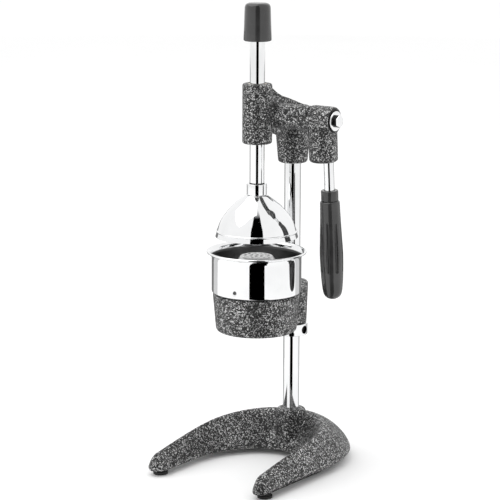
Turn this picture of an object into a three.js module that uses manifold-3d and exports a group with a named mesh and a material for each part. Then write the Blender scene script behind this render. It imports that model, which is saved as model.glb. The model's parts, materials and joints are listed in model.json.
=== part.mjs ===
// Lever-operated citrus press: a rack-and-pinion hand press on a horseshoe foot.
// Millimetres, +Z up, +X on the lever's side, -Y at the front. The column's axis is the working
// origin; the last lines move the whole press so that it stands centred on its footprint.

import * as THREE from 'three';
import { mergeVertices } from 'three/addons/utils/BufferGeometryUtils.js';
import Module from 'manifold-3d';

const wasm = await Module();
wasm.setup();

// ---------------------------------------------------------------- driving dimensions

const FIT = 0.3;                 // clearance round a pin, bar or bush
const SEAT = 0.3;                // clearance between two faces that rest on each other
const WIDE = 32;                 // facets round the cup, ring and bell
const ROUND = 24;                // facets round a bar or tube
const SMALL = 12;                // facets round a screw or bush
const CHAMFER = 0.7;             // broken edge of a turned or cast piece
const PAST = 1;                  // how far a cut runs past the face it opens

// Foot casting: a horseshoe whose crest rises from the toes to the column socket.
const UNDERSIDE = 6.5;           // height of the casting above the table
const BASE_HALF_WIDTH = 89.7;    // outer edge of each leg from the middle
const LEG_WIDTH = 24.6;          // plan width of a leg
const HEEL_LENGTH = 117;         // the outer edge's half ellipse, front to back
const HEEL_CENTRE = -44.2;       // where that half ellipse starts
const CROTCH_LENGTH = 91.7;      // the inner edge's half ellipse
const CROTCH_Y = -17.3;          // the inner edge's rearmost point
const TOE_REACH = 91.5;          // from the plunger's axis forward to the toes' centres
const TOE_STRETCH = 1.16;        // how much longer a toe is than a half circle
const HEEL_HEIGHT = 51.7;        // crest heights at the back, half way and at the toes
const MID_HEIGHT = 47.1;
const TOE_HEIGHT = 29.5;
const CREST_SHARE = 0.58;        // crest's place across a leg, from the outer edge
const OUTER_SWELL = 1.39;        // exponents of the two sides' curves
const INNER_SWELL = 1.31;
const LIP_SHARE = 0.18;          // how far the outer side turns in under itself, and how high
const LIP_RISE = 0.11;
const CASTING_WALL = 5;
const SOCKET_RADIUS = 18.5;
const SOCKET_TOP = 59.4;
const SOCKET_FLOOR = 24;
const SOCKET_FLOOR_THICKNESS = 7;
const SOCKET_CORNER = 4;

// Rubber feet, each held by one screw.
const FOOT_RADIUS = 8.8;
const FOOT_NECK_RADIUS = 7.2;
const FOOT_SCREW_RADIUS = 2.1;
const FOOT_SCREW_LENGTH = 14;
const FOOT_FLANGE = 3.6;         // height of the foot's wide part
const FOOT_SHOULDER = 2.6;       // where the screw's head bears inside the foot
const FOOT_SCREW_RECESS = 0.8;   // screw head above the table
const FOOT_SETBACK = 2.8;        // front feet behind the toes' centres
const REAR_FOOT_Y = 44;

// Column, and the bolt that pulls it into the socket.
const COLUMN_RADIUS = 10;
const COLUMN_BOLT_RADIUS = 5;
const COLUMN_BOLT_DEPTH = 22;
const BOLT_HEAD = 5.5;           // height of the column and bell bolts' heads
const HEX_HEAD = 1.55;           // a bolt head's corner radius over the bolt's
const PLAIN_WASHER = 2;
const DRILL_SPARE = 2;           // tapped hole beyond the end of its bolt

// Cup holder and the collar under it.
const RING_BOTTOM = 172.6;
const RING_HEIGHT = 47.4;
const RING_TOP_RADIUS = 52.7;
const RING_BOTTOM_RADIUS = 48.3;
const RING_WALL = 7;
const HOLDER_BOSS_RADIUS = 20;
const HOLDER_BOSS_DRAFT = 1.8;   // how much narrower the boss is at the bottom
const BOSS_CORNER = 3;
const HOLDER_BOSS_RISE = 1.2;    // boss top above the ring top
const HOLDER_BOSS_DROP = 4.4;    // boss bottom below the ring bottom
const NECK_WIDTH = 30;
const COLLAR_RADIUS = 19.6;
const COLLAR_HEIGHT = 14;
const GRUB_RADIUS = 4.7;
const GRUB_LENGTH = 6;
const RING_CORNER = 5;
const RING_BORE_DRAFT = 2;       // how much wider the ring's bore is at the top
const NECK_INSET = 3;            // neck's top and bottom inside the ring's

// Cup, which drops into the ring, and the strainer cone that stands in it.
const CUP_WALL_RADIUS = 53.7;
const CUP_RIM_RADIUS = 59.7;
const CUP_HEIGHT = 50.3;
const SHEET = 1.2;
const SPOUT_RADIUS = 9.5;
const SPOUT_DROP = 6;            // spout below the ring
const SPOUT_LENGTH = 14;
const FUNNEL_RISE = 14;
const RIM_ROLL = 1.5;            // radius of the cup's rolled rim
const FLARE_DROP = 7;            // where the cup's wall starts to flare, below the rim
const CONE_HEIGHT = 42;
const CONE_TOP_RADIUS = 18.9;
const CONE_FLANGE_RADIUS = 51.4;
const CONE_FLANGE_WIDTH = 3;
const CONE_SHEET = 1;
const PERFORATION = 1.9;
const PERFORATION_SPACING = 7;
const RIM_COLUMN_GAP = 4.3;      // between the cup's rim and the column
const DIMPLE_RADIUS = 3.5;
const DIMPLE_DEPTH = 1.6;
const DIMPLE_RISE = 7.5;
const DIMPLES = 3;
const DIMPLE_TURN = 7;           // first dimple, degrees from the front

// Plunger: bell, collar, toothed rod and cap.
const BELL_RIM_RADIUS = 49.3;
const BELL_HEIGHT = 50.4;
const BELL_BEAD_RISE = 6.6;
const BELL_BEAD = 0.9;           // depth of the line round the bell above its skirt
const BELL_SHOULDER = [15.6, 1.6];   // radius and drop from the crown along the bell's flare
const BELL_WAIST = [31, 15];
const BELL_SKIRT = [42.5, 30.5];
const BELL_WASHER = 1.6;
const BELL_BOLT_DEPTH = 16;
const BELL_COLLAR_RADIUS = 12.1;
const BELL_COLLAR_HEIGHT = 13.5;
const BELL_SHEET = 1.5;
const BELL_REST_GAP = 16.5;      // rim of the bell above the rim of the cup, as stored
const ROD_RADIUS = 8.8;
const CAP_RADIUS = 16.5;
const CAP_TOP_RADIUS = 15.3;
const CAP_HEIGHT = 44.6;
const CAP_SKIN = 13;
const CAP_CORNER = 4.5;
const TRAVEL_UP = 48;            // free run of the plunger each way from where it is stored
const TRAVEL_DOWN = 50;

// Rack and pinion.
const MODULE = 1.5;
const TEETH = 18;
const PRESSURE_ANGLE = THREE.MathUtils.degToRad(20);
const BACKLASH = 0.25;           // taken off each tooth's thickness and added to each rack gap
const ADDENDUM = MODULE;
const TOOTH_LAND = 0.1;          // rack tips below the rod's surface
const DEDENDUM = 1.25 * MODULE;
const PINION_WIDTH = 12;

// Head casting.
const GUIDE_RADIUS = 17.7;
const GUIDE_LENGTH = 71.2;
const BUSH_WALL = 2.4;
const BUSH_LENGTH = 12;
const BUSH_INSET = 0.5;          // bush ends inside the casting's faces
const GUIDE_CORNER = 3;
const PINION_HEIGHT = 32.5;      // pinion axis above the bottom of the guide
const BARREL_RADIUS = 15;
const BARREL_END = 64.2;         // barrel's free end, from the middle plane
const GEAR_TIP_ROOM = 0.6;       // round the pinion's tips
const GEARBOX_WALL = 3;
const GEARBOX_LEFT = 20.5;
const GEARBOX_RIGHT = 9.5;
const WEB_HALF_WIDTH = 6;
const ARCH_HEIGHT = 16.5;        // opening under the web
const HEAD_BOSS_DROP = 31.9;     // column boss below the bottom of the guide
const HEAD_BOSS_RADIUS = 17.3;
const HEAD_BOSS_TOP_RADIUS = 20.5;
const HEAD_BOSS_HEIGHT = 69;
const COLUMN_GRIP = 58;          // length of column inside the head
const HEAD_GRUB_RISES = [16, 42];    // grub screws above the bottom of the column boss
const CIRCLIP_THICKNESS = 1.2;
const CIRCLIP_GROOVE = 1.2;      // depth of its groove
const CIRCLIP_WIDTH = 3;
const CIRCLIP_SETBACK = 1.5;     // groove behind the gearbox's open end
const CIRCLIP_OPENING = 8;

// Drive shaft and lever.
const SHAFT_RADIUS = 8;
const HUB_SEAT_RADIUS = 7;
const HUB_RADIUS = 16.4;
const HUB_GAP = 0.6;
const SHAFT_INSET = 1.5;         // shaft's end inside the hub's outer face
const HUB_WIDTH = 30.9;
const KEY_SIZE = 4;
const KEY_LENGTH = 16;
const KEY_SETBACK = 5;           // key's start from the hub's inner face
const HUB_BOLT_RADIUS = 4;
const HUB_BOLT_DEPTH = 20;
const WASHER_RADIUS = 11.7;
const WASHER_THICKNESS = 2.2;
const BOLT_HEAD_RADIUS = 7.5;
const BOLT_HEAD_HEIGHT = 5;
const LEVER_TILT = THREE.MathUtils.degToRad(4.2);
const HANDLE_FROM_HUB_END = 10;  // handle rod's axis behind the hub's outer face
const HANDLE_RADIUS = 6;
const HANDLE_TOP_WALL = 3.5;     // between the shaft's bore and the handle rod's end
const LUG_RADIUS = 17;           // round lug under the hub that holds the handle rod
const LUG_DROP = 49.3;
const LUG_CORNER = 3.5;
const HUB_CORNER = 4;
const FERRULE_DROP = 83.6;
const FERRULE_LENGTH = 12.3;
const FERRULE_RADIUS = 10.2;
const GRIP_LENGTH = 119.8;
const GRIP_TOP_RADIUS = 11.6;
const GRIP_MIDDLE_RADIUS = 14;
const GRIP_END_RADIUS = 10.5;
const GRIP_BORE_DEPTH = 100;
const FLUTES = 8;
const FLUTE_RADIUS = 2.2;
const FLUTE_LENGTH = 62;
const FLUTE_START = 24;
const FLUTE_DEPTH = 1.4;

// ---------------------------------------------------------------- places worked out from them

const THROW = CUP_RIM_RADIUS + RIM_COLUMN_GAP + COLUMN_RADIUS;
const PLUNGER = [0, -THROW];
const TOE_CENTRE = -THROW - TOE_REACH;
const TOE_X = BASE_HALF_WIDTH - LEG_WIDTH / 2;

const RING_TOP = RING_BOTTOM + RING_HEIGHT;
const HOLDER_BOTTOM = RING_BOTTOM - HOLDER_BOSS_DROP;
const HOLDER_TOP = RING_TOP + HOLDER_BOSS_RISE;
const HOLDER_MIDDLE = (HOLDER_BOTTOM + HOLDER_TOP) / 2;
const COLLAR_TOP = HOLDER_BOTTOM - SEAT;
const COLLAR_BOTTOM = COLLAR_TOP - COLLAR_HEIGHT;
const COLLAR_MIDDLE = (COLLAR_BOTTOM + COLLAR_TOP) / 2;
const CUP_SEAT = RING_TOP + SEAT;
const CUP_RIM = CUP_SEAT + CUP_HEIGHT;
const CUP_NECK_RADIUS = RING_BOTTOM_RADIUS - RING_WALL + SHEET;
const CONE_SEAT = CUP_SEAT + SHEET + SEAT;
const CONE_TOP = CONE_SEAT + CONE_HEIGHT;

const BELL_RIM = CUP_RIM + BELL_REST_GAP;
const BELL_CROWN = BELL_RIM + BELL_HEIGHT;
const BELL_COLLAR_TOP = BELL_CROWN + SEAT + BELL_COLLAR_HEIGHT;
const GUIDE_BOTTOM = BELL_COLLAR_TOP + TRAVEL_UP;
const GUIDE_TOP = GUIDE_BOTTOM + GUIDE_LENGTH;
const CAP_BOTTOM = GUIDE_TOP + TRAVEL_DOWN;
const CAP_TOP = CAP_BOTTOM + CAP_HEIGHT;
const ROD_BOTTOM = BELL_CROWN + SEAT;
const ROD_TOP = CAP_TOP - CAP_SKIN;

const PITCH = Math.PI * MODULE;
const PITCH_RADIUS = MODULE * TEETH / 2;
const RACK_PITCH_LINE = ROD_RADIUS - ADDENDUM - TOOTH_LAND;
const PINION_Y = -THROW + RACK_PITCH_LINE + PITCH_RADIUS;
const PINION_Z = GUIDE_BOTTOM + PINION_HEIGHT;
const PINION = [PINION_Y, PINION_Z];
const GEAR_ROOM = PITCH_RADIUS + ADDENDUM + GEAR_TIP_ROOM;
const GEARBOX_RADIUS = GEAR_ROOM + GEARBOX_WALL;
const GEAR_END = PINION_WIDTH / 2 + SEAT;

const HEAD_BOTTOM = GUIDE_BOTTOM - HEAD_BOSS_DROP;
const HEAD_BOSS_TOP = HEAD_BOTTOM + HEAD_BOSS_HEIGHT;
const COLUMN_BOTTOM = SOCKET_FLOOR + SEAT;
const BOLT_CEILING = SOCKET_FLOOR - SOCKET_FLOOR_THICKNESS;
const WASHER_TOP = BOLT_CEILING - SEAT;
const COLUMN_BOLT_HEAD_TOP = WASHER_TOP - PLAIN_WASHER - SEAT;
const COLUMN_BOLT_END = COLUMN_BOTTOM + COLUMN_BOLT_DEPTH;
const COLUMN_TOP = HEAD_BOTTOM + COLUMN_GRIP;

const HUB_START = BARREL_END + HUB_GAP;
const HUB_END = HUB_START + HUB_WIDTH;
const HANDLE_X = HUB_END - HANDLE_FROM_HUB_END;
const SHAFT_END = HUB_END - SHAFT_INSET;
const GRIP_TOP = -(FERRULE_DROP + FERRULE_LENGTH + SEAT);

// ---------------------------------------------------------------- materials

function finish(colour, roughness, metalness) {
  return new THREE.MeshStandardMaterial({ color: colour, roughness, metalness });
}

const hammertone = finish(0x3a3a3c, 0.45, 0.3);
const chrome = finish(0xe6e8ea, 0.06, 1);
const stainless = finish(0xb9bcbf, 0.3, 1);
const gear_steel = finish(0x9c9fa3, 0.35, 1);
const bearing = finish(0xb08d4a, 0.4, 0.9);
const plastic = finish(0x141414, 0.22, 0);
const rubber = finish(0x0c0c0c, 0.8, 0);
const black_steel = finish(0x1a1a1b, 0.4, 0.8);

// ---------------------------------------------------------------- shape helpers

// A closed geometry as a solid, with its faces turned outwards.
function solid(geometry) {
  geometry.deleteAttribute('normal');
  geometry.deleteAttribute('uv');
  const merged = mergeVertices(geometry, 1e-4);
  const corners = merged.index.array;
  const place = merged.attributes.position;
  const at = (i) => new THREE.Vector3().fromBufferAttribute(place, i);
  const kept = [];
  let volume = 0;
  for (let i = 0; i < corners.length; i += 3) {
    const [a, b, c] = [corners[i], corners[i + 1], corners[i + 2]];
    if (a === b || b === c || c === a) {
      continue;
    }
    kept.push([a, b, c]);
    volume += at(a).dot(at(b).cross(at(c)));
  }
  const outward = volume > 0 ? kept : kept.map(([a, b, c]) => [a, c, b]);
  return new wasm.Manifold(new wasm.Mesh({
    numProp: 3,
    vertProperties: new Float32Array(place.array),
    triVerts: new Uint32Array(outward.flat()),
  }));
}

// Takes a shape built along +Z onto another axis, then to its centre in the other two directions.
function lay(geometry, axis, centre) {
  const [first, second] = centre;
  if (axis === 'x') {
    return geometry.rotateY(Math.PI / 2).translate(0, first, second);
  }
  if (axis === 'y') {
    return geometry.rotateX(-Math.PI / 2).translate(first, 0, second);
  }
  return geometry.translate(first, second, 0);
}

// A round bar between two places on its axis. Six facets make a hexagon.
function bar(radius, from, to, axis = 'z', centre = [0, 0], facets = ROUND, end_radius = radius) {
  const shape = new THREE.CylinderGeometry(end_radius, radius, to - from, facets);
  shape.rotateX(Math.PI / 2).translate(0, 0, (from + to) / 2);
  return solid(lay(shape, axis, centre));
}

// A turned piece from [radius, place along the axis] points; the profile closes itself.
function turned(profile, axis = 'z', centre = [0, 0], facets = ROUND) {
  const points = profile.map(([radius, along]) => new THREE.Vector2(radius, along));
  if (profile[0][0] > 0 || profile[profile.length - 1][0] > 0) {
    points.push(points[0].clone());
  }
  const shape = new THREE.LatheGeometry(points, facets).rotateX(Math.PI / 2);
  return solid(lay(shape, axis, centre));
}

// A ring with square corners.
function ring(inner, outer, from, to, axis = 'z', centre = [0, 0], facets = ROUND) {
  return turned([[inner, from], [outer, from], [outer, to], [inner, to]], axis, centre, facets);
}

function block(low, high) {
  const size = low.map((value, i) => high[i] - value);
  const middle = low.map((value, i) => (high[i] + value) / 2);
  return solid(new THREE.BoxGeometry(...size).translate(...middle));
}

// An outline of [y, z] points, drawn out along X.
function slab(outline, from, to) {
  const shape = new THREE.Shape(outline.map(([y, z]) => new THREE.Vector2(y, z)));
  const body = new THREE.ExtrudeGeometry(shape, { depth: to - from, bevelEnabled: false });
  const axes = new THREE.Matrix4().makeBasis(
    new THREE.Vector3(0, 1, 0),
    new THREE.Vector3(0, 0, 1),
    new THREE.Vector3(1, 0, 0),
  );
  return solid(body.applyMatrix4(axes).translate(from, 0, 0));
}

// Points of a circular arc, as [radius, height] pairs.
function arc(centre, radius, from, to, steps) {
  const points = [];
  for (let i = 0; i <= steps; i += 1) {
    const angle = THREE.MathUtils.degToRad(from + (to - from) * i / steps);
    points.push([centre[0] + radius * Math.cos(angle), centre[1] + radius * Math.sin(angle)]);
  }
  return points;
}

function curve(points, steps) {
  const line = new THREE.SplineCurve(points.map(([a, b]) => new THREE.Vector2(a, b)));
  return line.getPoints(steps).map((point) => [point.x, point.y]);
}

const press = new THREE.Group();
const lever = new THREE.Group();
lever.position.set(0, PINION_Y, PINION_Z);
lever.rotation.x = LEVER_TILT;
press.add(lever);

function add(name, body, material, group = press) {
  const mesh = body.getMesh();
  const geometry = new THREE.BufferGeometry();
  geometry.setAttribute('position', new THREE.BufferAttribute(new Float32Array(mesh.vertProperties), 3));
  geometry.setIndex(new THREE.BufferAttribute(new Uint32Array(mesh.triVerts), 1));
  geometry.computeVertexNormals();
  const piece = new THREE.Mesh(geometry, material);
  piece.name = name;
  group.add(piece);
}

// A grub screw that ends against the bar it holds, with a hexagon socket in its outer end.
function grub(bar_radius, axis, centre) {
  const inner = bar_radius + FIT;
  const outer = inner + GRUB_LENGTH;
  const socket = bar(GRUB_RADIUS / 2, outer - GRUB_LENGTH / 2, outer + PAST, axis, centre, 6);
  return bar(GRUB_RADIUS, inner, outer, axis, centre, SMALL).subtract(socket);
}

// A bolt pointing up, with its hexagon head below.
function hex_bolt(radius, head_top, end, centre) {
  const head = bar(HEX_HEAD * radius, head_top - BOLT_HEAD, head_top, 'z', centre, 6);
  return head.add(bar(radius, head_top - PAST, end, 'z', centre, SMALL));
}

// ---------------------------------------------------------------- foot casting

// Half of one plan edge, from the back to the toe: a quarter ellipse, then a straight run.
function edge(half_width, length, centre, share) {
  const straight = centre - TOE_CENTRE;
  const curved = Math.PI * Math.sqrt((half_width ** 2 + length ** 2) / 8);
  const run = share * (curved + straight);
  if (run > curved) {
    return [half_width, centre - (run - curved)];
  }
  const angle = run / curved * Math.PI / 2;
  return [half_width * Math.sin(angle), centre + length * Math.cos(angle)];
}

// One cross-section of a leg between its outer and inner plan edges, crest included.
function leg_section(outer, inner, floor, crest, squash) {
  const steps = 4;
  const mix = (share) => outer.map((value, i) => value + (inner[i] - value) * share);
  const points = [[...mix(LIP_SHARE), floor]];
  for (let i = 0; i <= 2 * steps; i += 1) {
    const angle = Math.PI / 2 * Math.abs(i - steps) / steps;
    const on_outside = i <= steps;
    const across = on_outside
      ? CREST_SHARE * (1 - Math.sin(angle))
      : CREST_SHARE + (1 - CREST_SHARE) * Math.sin(angle);
    const swell = on_outside ? OUTER_SWELL : INNER_SWELL;
    const height = Math.max(1 - Math.sin(angle) ** swell, 0) ** (1 / swell);
    const lifted = i < 2 * steps ? LIP_RISE + (1 - LIP_RISE) * height : 0;
    points.push([...mix(across), floor + (crest - floor) * lifted * squash]);
  }
  return points;
}

// The horseshoe as one skin, drawn in by an inset all round for the hollow under it.
function horseshoe(inset, floor) {
  const stations = 14;
  const toe_steps = 3;
  const outer_half = BASE_HALF_WIDTH - inset;
  const inner_half = BASE_HALF_WIDTH - LEG_WIDTH + inset;
  const crotch_centre = CROTCH_Y - CROTCH_LENGTH;
  const leg = [];
  for (let i = 0; i <= stations; i += 1) {
    const share = i / stations;
    const outer = edge(outer_half, HEEL_LENGTH - inset, HEEL_CENTRE, share);
    const inner = edge(inner_half, CROTCH_LENGTH + inset, crotch_centre, share);
    const crest = HEEL_HEIGHT * (1 - share) * (1 - 2 * share)
      + MID_HEIGHT * 4 * share * (1 - share) + TOE_HEIGHT * share * (2 * share - 1);
    leg.push(leg_section(outer, inner, floor, crest - inset, 1));
  }
  const half_toe = (outer_half - inner_half) / 2;
  for (let i = 1; i <= toe_steps; i += 1) {
    const angle = Math.PI / 2 * i / toe_steps;
    const reach = TOE_CENTRE - half_toe * TOE_STRETCH * Math.sin(angle);
    const half = half_toe * Math.max(Math.cos(angle), 0);
    const squash = i === toe_steps ? 0 : Math.sqrt(Math.cos(angle));
    const outer = [TOE_X + half, reach];
    const inner = [TOE_X - half, reach];
    leg.push(leg_section(outer, inner, floor, TOE_HEIGHT - inset, squash));
  }
  const mirrored = leg.slice(1).map((points) => points.map(([x, y, z]) => [-x, y, z]));
  const rings = [...mirrored.reverse(), ...leg];
  const size = rings[0].length;
  const corners = [];
  for (let r = 0; r + 1 < rings.length; r += 1) {
    for (let p = 0; p < size; p += 1) {
      const next = (p + 1) % size;
      corners.push(r * size + p, (r + 1) * size + p, (r + 1) * size + next);
      corners.push(r * size + p, (r + 1) * size + next, r * size + next);
    }
  }
  const shape = new THREE.BufferGeometry();
  shape.setAttribute('position', new THREE.Float32BufferAttribute(rings.flat(2), 3));
  shape.setIndex(corners);
  return solid(shape);
}

const FEET = {
  front_left: [-TOE_X, TOE_CENTRE + FOOT_SETBACK],
  front_right: [TOE_X, TOE_CENTRE + FOOT_SETBACK],
  rear: [0, REAR_FOOT_Y],
};

function make_base() {
  const outside = horseshoe(0, UNDERSIDE);
  const socket = turned([
    [0, UNDERSIDE],
    [SOCKET_RADIUS, UNDERSIDE],
    ...arc([SOCKET_RADIUS - SOCKET_CORNER, SOCKET_TOP - SOCKET_CORNER], SOCKET_CORNER, 0, 90, 4),
    [0, SOCKET_TOP],
  ]);
  let body = outside.subtract(horseshoe(CASTING_WALL, UNDERSIDE - PAST)).add(socket);
  for (const centre of Object.values(FEET)) {
    const post = bar(FOOT_NECK_RADIUS + CHAMFER, UNDERSIDE, HEEL_HEIGHT, 'z', centre, SMALL);
    body = body.add(post.intersect(outside));
    const tapped = bar(FOOT_SCREW_RADIUS + FIT, UNDERSIDE - PAST, UNDERSIDE + FOOT_SCREW_LENGTH,
      'z', centre, SMALL);
    body = body.subtract(tapped);
  }
  const bolt_hole = COLUMN_BOLT_RADIUS + FIT;
  const counterbore = 2 * COLUMN_BOLT_RADIUS + DRILL_SPARE;
  return body
    .subtract(bar(COLUMN_RADIUS + FIT, SOCKET_FLOOR, SOCKET_TOP + PAST))
    .subtract(bar(bolt_hole, BOLT_CEILING - PAST, SOCKET_FLOOR + PAST, 'z', [0, 0], SMALL))
    .subtract(bar(counterbore, UNDERSIDE - PAST, BOLT_CEILING, 'z', [0, 0], SMALL));
}

add('base', make_base(), hammertone);

for (const [place, centre] of Object.entries(FEET)) {
  const hole = FOOT_SCREW_RADIUS + FIT;
  const head = 2 * FOOT_SCREW_RADIUS;
  const foot = turned([
    [hole, FOOT_SHOULDER],
    [head + FIT, FOOT_SHOULDER],
    [head + FIT, 0],
    [FOOT_RADIUS - CHAMFER, 0],
    [FOOT_RADIUS, CHAMFER],
    [FOOT_RADIUS, FOOT_FLANGE],
    [FOOT_NECK_RADIUS, FOOT_FLANGE + CHAMFER],
    [FOOT_NECK_RADIUS, UNDERSIDE - SEAT],
    [hole, UNDERSIDE - SEAT],
  ], 'z', centre);
  add(`foot_${place}`, foot, rubber);
  const screw_end = UNDERSIDE + FOOT_SCREW_LENGTH - DRILL_SPARE;
  const screw = turned([
    [0, FOOT_SCREW_RECESS],
    [head, FOOT_SCREW_RECESS],
    [head, FOOT_SHOULDER - SEAT],
    [FOOT_SCREW_RADIUS, FOOT_SHOULDER - SEAT],
    [FOOT_SCREW_RADIUS, screw_end],
    [0, screw_end],
  ], 'z', centre, SMALL);
  add(`foot_screw_${place}`, screw, gear_steel);
}

// ---------------------------------------------------------------- column

const column = turned([
  [0, COLUMN_BOTTOM],
  [COLUMN_RADIUS - CHAMFER, COLUMN_BOTTOM],
  [COLUMN_RADIUS, COLUMN_BOTTOM + CHAMFER],
  [COLUMN_RADIUS, COLUMN_TOP - CHAMFER],
  [COLUMN_RADIUS - CHAMFER, COLUMN_TOP],
  [0, COLUMN_TOP],
]).subtract(bar(COLUMN_BOLT_RADIUS + FIT, COLUMN_BOTTOM - PAST, COLUMN_BOLT_END + DRILL_SPARE,
  'z', [0, 0], SMALL));
add('column', column, chrome);

add('column_washer', ring(COLUMN_BOLT_RADIUS + FIT, 2 * COLUMN_BOLT_RADIUS,
  WASHER_TOP - PLAIN_WASHER, WASHER_TOP, 'z', [0, 0], SMALL), gear_steel);
add('column_bolt', hex_bolt(COLUMN_BOLT_RADIUS, COLUMN_BOLT_HEAD_TOP, COLUMN_BOLT_END, [0, 0]),
  gear_steel);

// ---------------------------------------------------------------- shaft collar and cup holder

const shaft_collar = turned([
  [COLUMN_RADIUS + FIT, COLLAR_BOTTOM],
  [COLLAR_RADIUS - CHAMFER, COLLAR_BOTTOM],
  [COLLAR_RADIUS, COLLAR_BOTTOM + CHAMFER],
  [COLLAR_RADIUS, COLLAR_TOP - CHAMFER],
  [COLLAR_RADIUS - CHAMFER, COLLAR_TOP],
  [COLUMN_RADIUS + FIT, COLLAR_TOP],
]).subtract(bar(GRUB_RADIUS + FIT, 0, COLLAR_RADIUS + PAST, 'x', [0, COLLAR_MIDDLE], SMALL));
add('shaft_collar', shaft_collar, chrome);
add('collar_grub_screw', grub(COLUMN_RADIUS, 'x', [0, COLLAR_MIDDLE]), black_steel);

function make_cup_holder() {
  const taper = (RING_TOP_RADIUS - RING_BOTTOM_RADIUS) / RING_HEIGHT;
  const hollow = RING_BOTTOM_RADIUS - RING_WALL;
  const outline = [
    [0, RING_BOTTOM],
    ...arc([RING_BOTTOM_RADIUS - RING_CORNER, RING_BOTTOM + RING_CORNER], RING_CORNER, -90, 0, 4),
    [RING_TOP_RADIUS - taper * CHAMFER, RING_TOP - CHAMFER],
    [RING_TOP_RADIUS - CHAMFER, RING_TOP],
    [0, RING_TOP],
  ];
  const boss = turned([
    [0, HOLDER_BOTTOM],
    [HOLDER_BOSS_RADIUS - HOLDER_BOSS_DRAFT, HOLDER_BOTTOM],
    ...arc([HOLDER_BOSS_RADIUS - BOSS_CORNER, HOLDER_TOP - BOSS_CORNER], BOSS_CORNER, 0, 90, 2),
    [0, HOLDER_TOP],
  ]);
  const neck = block([-NECK_WIDTH / 2, -THROW, RING_BOTTOM + NECK_INSET],
    [NECK_WIDTH / 2, 0, RING_TOP - NECK_INSET]);
  return turned(outline, 'z', PLUNGER, WIDE)
    .add(neck)
    .add(boss)
    .subtract(bar(hollow, RING_BOTTOM - PAST, RING_TOP + PAST, 'z', PLUNGER, WIDE,
      hollow + RING_BORE_DRAFT))
    .subtract(bar(COLUMN_RADIUS + FIT, HOLDER_BOTTOM - PAST, HOLDER_TOP + PAST))
    .subtract(bar(GRUB_RADIUS + FIT, 0, HOLDER_BOSS_RADIUS + PAST, 'y', [0, HOLDER_MIDDLE], SMALL));
}

add('cup_holder', make_cup_holder(), hammertone);
add('holder_grub_screw', grub(COLUMN_RADIUS, 'y', [0, HOLDER_MIDDLE]), black_steel);

// ---------------------------------------------------------------- cup and strainer cone

function make_cup() {
  const neck = CUP_NECK_RADIUS - SHEET - FIT;
  const spout_bottom = RING_BOTTOM - SPOUT_DROP;
  const funnel_bottom = spout_bottom + SPOUT_LENGTH;
  const funnel_top = funnel_bottom + FUNNEL_RISE;
  const flare = CUP_RIM - FLARE_DROP;
  const step = FLARE_DROP - 3 * RIM_ROLL;
  const roll_centre = [CUP_RIM_RADIUS - RIM_ROLL, CUP_RIM - RIM_ROLL];
  const outside = [
    [SPOUT_RADIUS, spout_bottom],
    [SPOUT_RADIUS, funnel_bottom],
    [neck, funnel_top],
    [neck, CUP_SEAT],
    [CUP_WALL_RADIUS - CHAMFER, CUP_SEAT],
    [CUP_WALL_RADIUS, CUP_SEAT + CHAMFER],
    [CUP_WALL_RADIUS, flare],
    [CUP_WALL_RADIUS + CHAMFER, flare + step],
    ...arc(roll_centre, RIM_ROLL, -90, 90, 4),
  ];
  const inside = [
    [CUP_WALL_RADIUS + CHAMFER, flare + step + 2 * SHEET],
    [CUP_WALL_RADIUS - SHEET, flare + SHEET / 2],
    [CUP_WALL_RADIUS - SHEET, CUP_SEAT + SHEET],
    [neck - SHEET, CUP_SEAT + SHEET],
    [neck - SHEET, funnel_top + SHEET / 2],
    [SPOUT_RADIUS - SHEET, funnel_bottom + SHEET / 2],
    [SPOUT_RADIUS - SHEET, spout_bottom],
  ];
  let body = turned([...outside, ...inside], 'z', PLUNGER, WIDE);
  for (let i = 0; i < DIMPLES; i += 1) {
    const angle = THREE.MathUtils.degToRad(DIMPLE_TURN - 90 + 360 * i / DIMPLES);
    const reach = CUP_WALL_RADIUS + DIMPLE_RADIUS - DIMPLE_DEPTH;
    const at = [reach * Math.cos(angle), -THROW + reach * Math.sin(angle), CUP_SEAT + DIMPLE_RISE];
    const ball = (radius) => solid(new THREE.SphereGeometry(radius, 10, 6).translate(...at));
    const bulge = ball(DIMPLE_RADIUS + SHEET).intersect(
      bar(CUP_WALL_RADIUS - SHEET / 2, CUP_SEAT, CUP_RIM, 'z', PLUNGER));
    body = body.add(bulge).subtract(ball(DIMPLE_RADIUS));
  }
  return body;
}

add('cup', make_cup(), chrome);

function make_strainer_cone() {
  const foot = CONE_FLANGE_RADIUS - CONE_FLANGE_WIDTH;
  const inner_top = CONE_TOP - CONE_SHEET;
  const body = turned([
    [0, inner_top],
    [CONE_TOP_RADIUS - CONE_SHEET / 2, inner_top],
    [foot - CONE_SHEET, CONE_SEAT],
    [CONE_FLANGE_RADIUS, CONE_SEAT],
    [CONE_FLANGE_RADIUS, CONE_SEAT + CONE_SHEET],
    [foot, CONE_SEAT + CONE_SHEET],
    [CONE_TOP_RADIUS + CONE_SHEET, inner_top],
    [CONE_TOP_RADIUS, CONE_TOP],
    [0, CONE_TOP],
  ], 'z', PLUNGER, WIDE);
  return perforated(body);
}

// Round holes in the cone's flat top: one in the middle and two rings about it.
function perforated(cone) {
  let body = cone;
  for (const [rank, count] of [1, 6, 12].entries()) {
    for (let i = 0; i < count; i += 1) {
      const angle = 2 * Math.PI * (i + rank / 2) / count;
      const radius = rank * PERFORATION_SPACING;
      const centre = [radius * Math.cos(angle), -THROW + radius * Math.sin(angle)];
      body = body.subtract(bar(PERFORATION, CONE_TOP - CONE_SHEET - PAST, CONE_TOP + PAST, 'z',
        centre, 8));
    }
  }
  return body;
}

add('strainer_cone', make_strainer_cone(), stainless);

// ---------------------------------------------------------------- plunger

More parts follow.
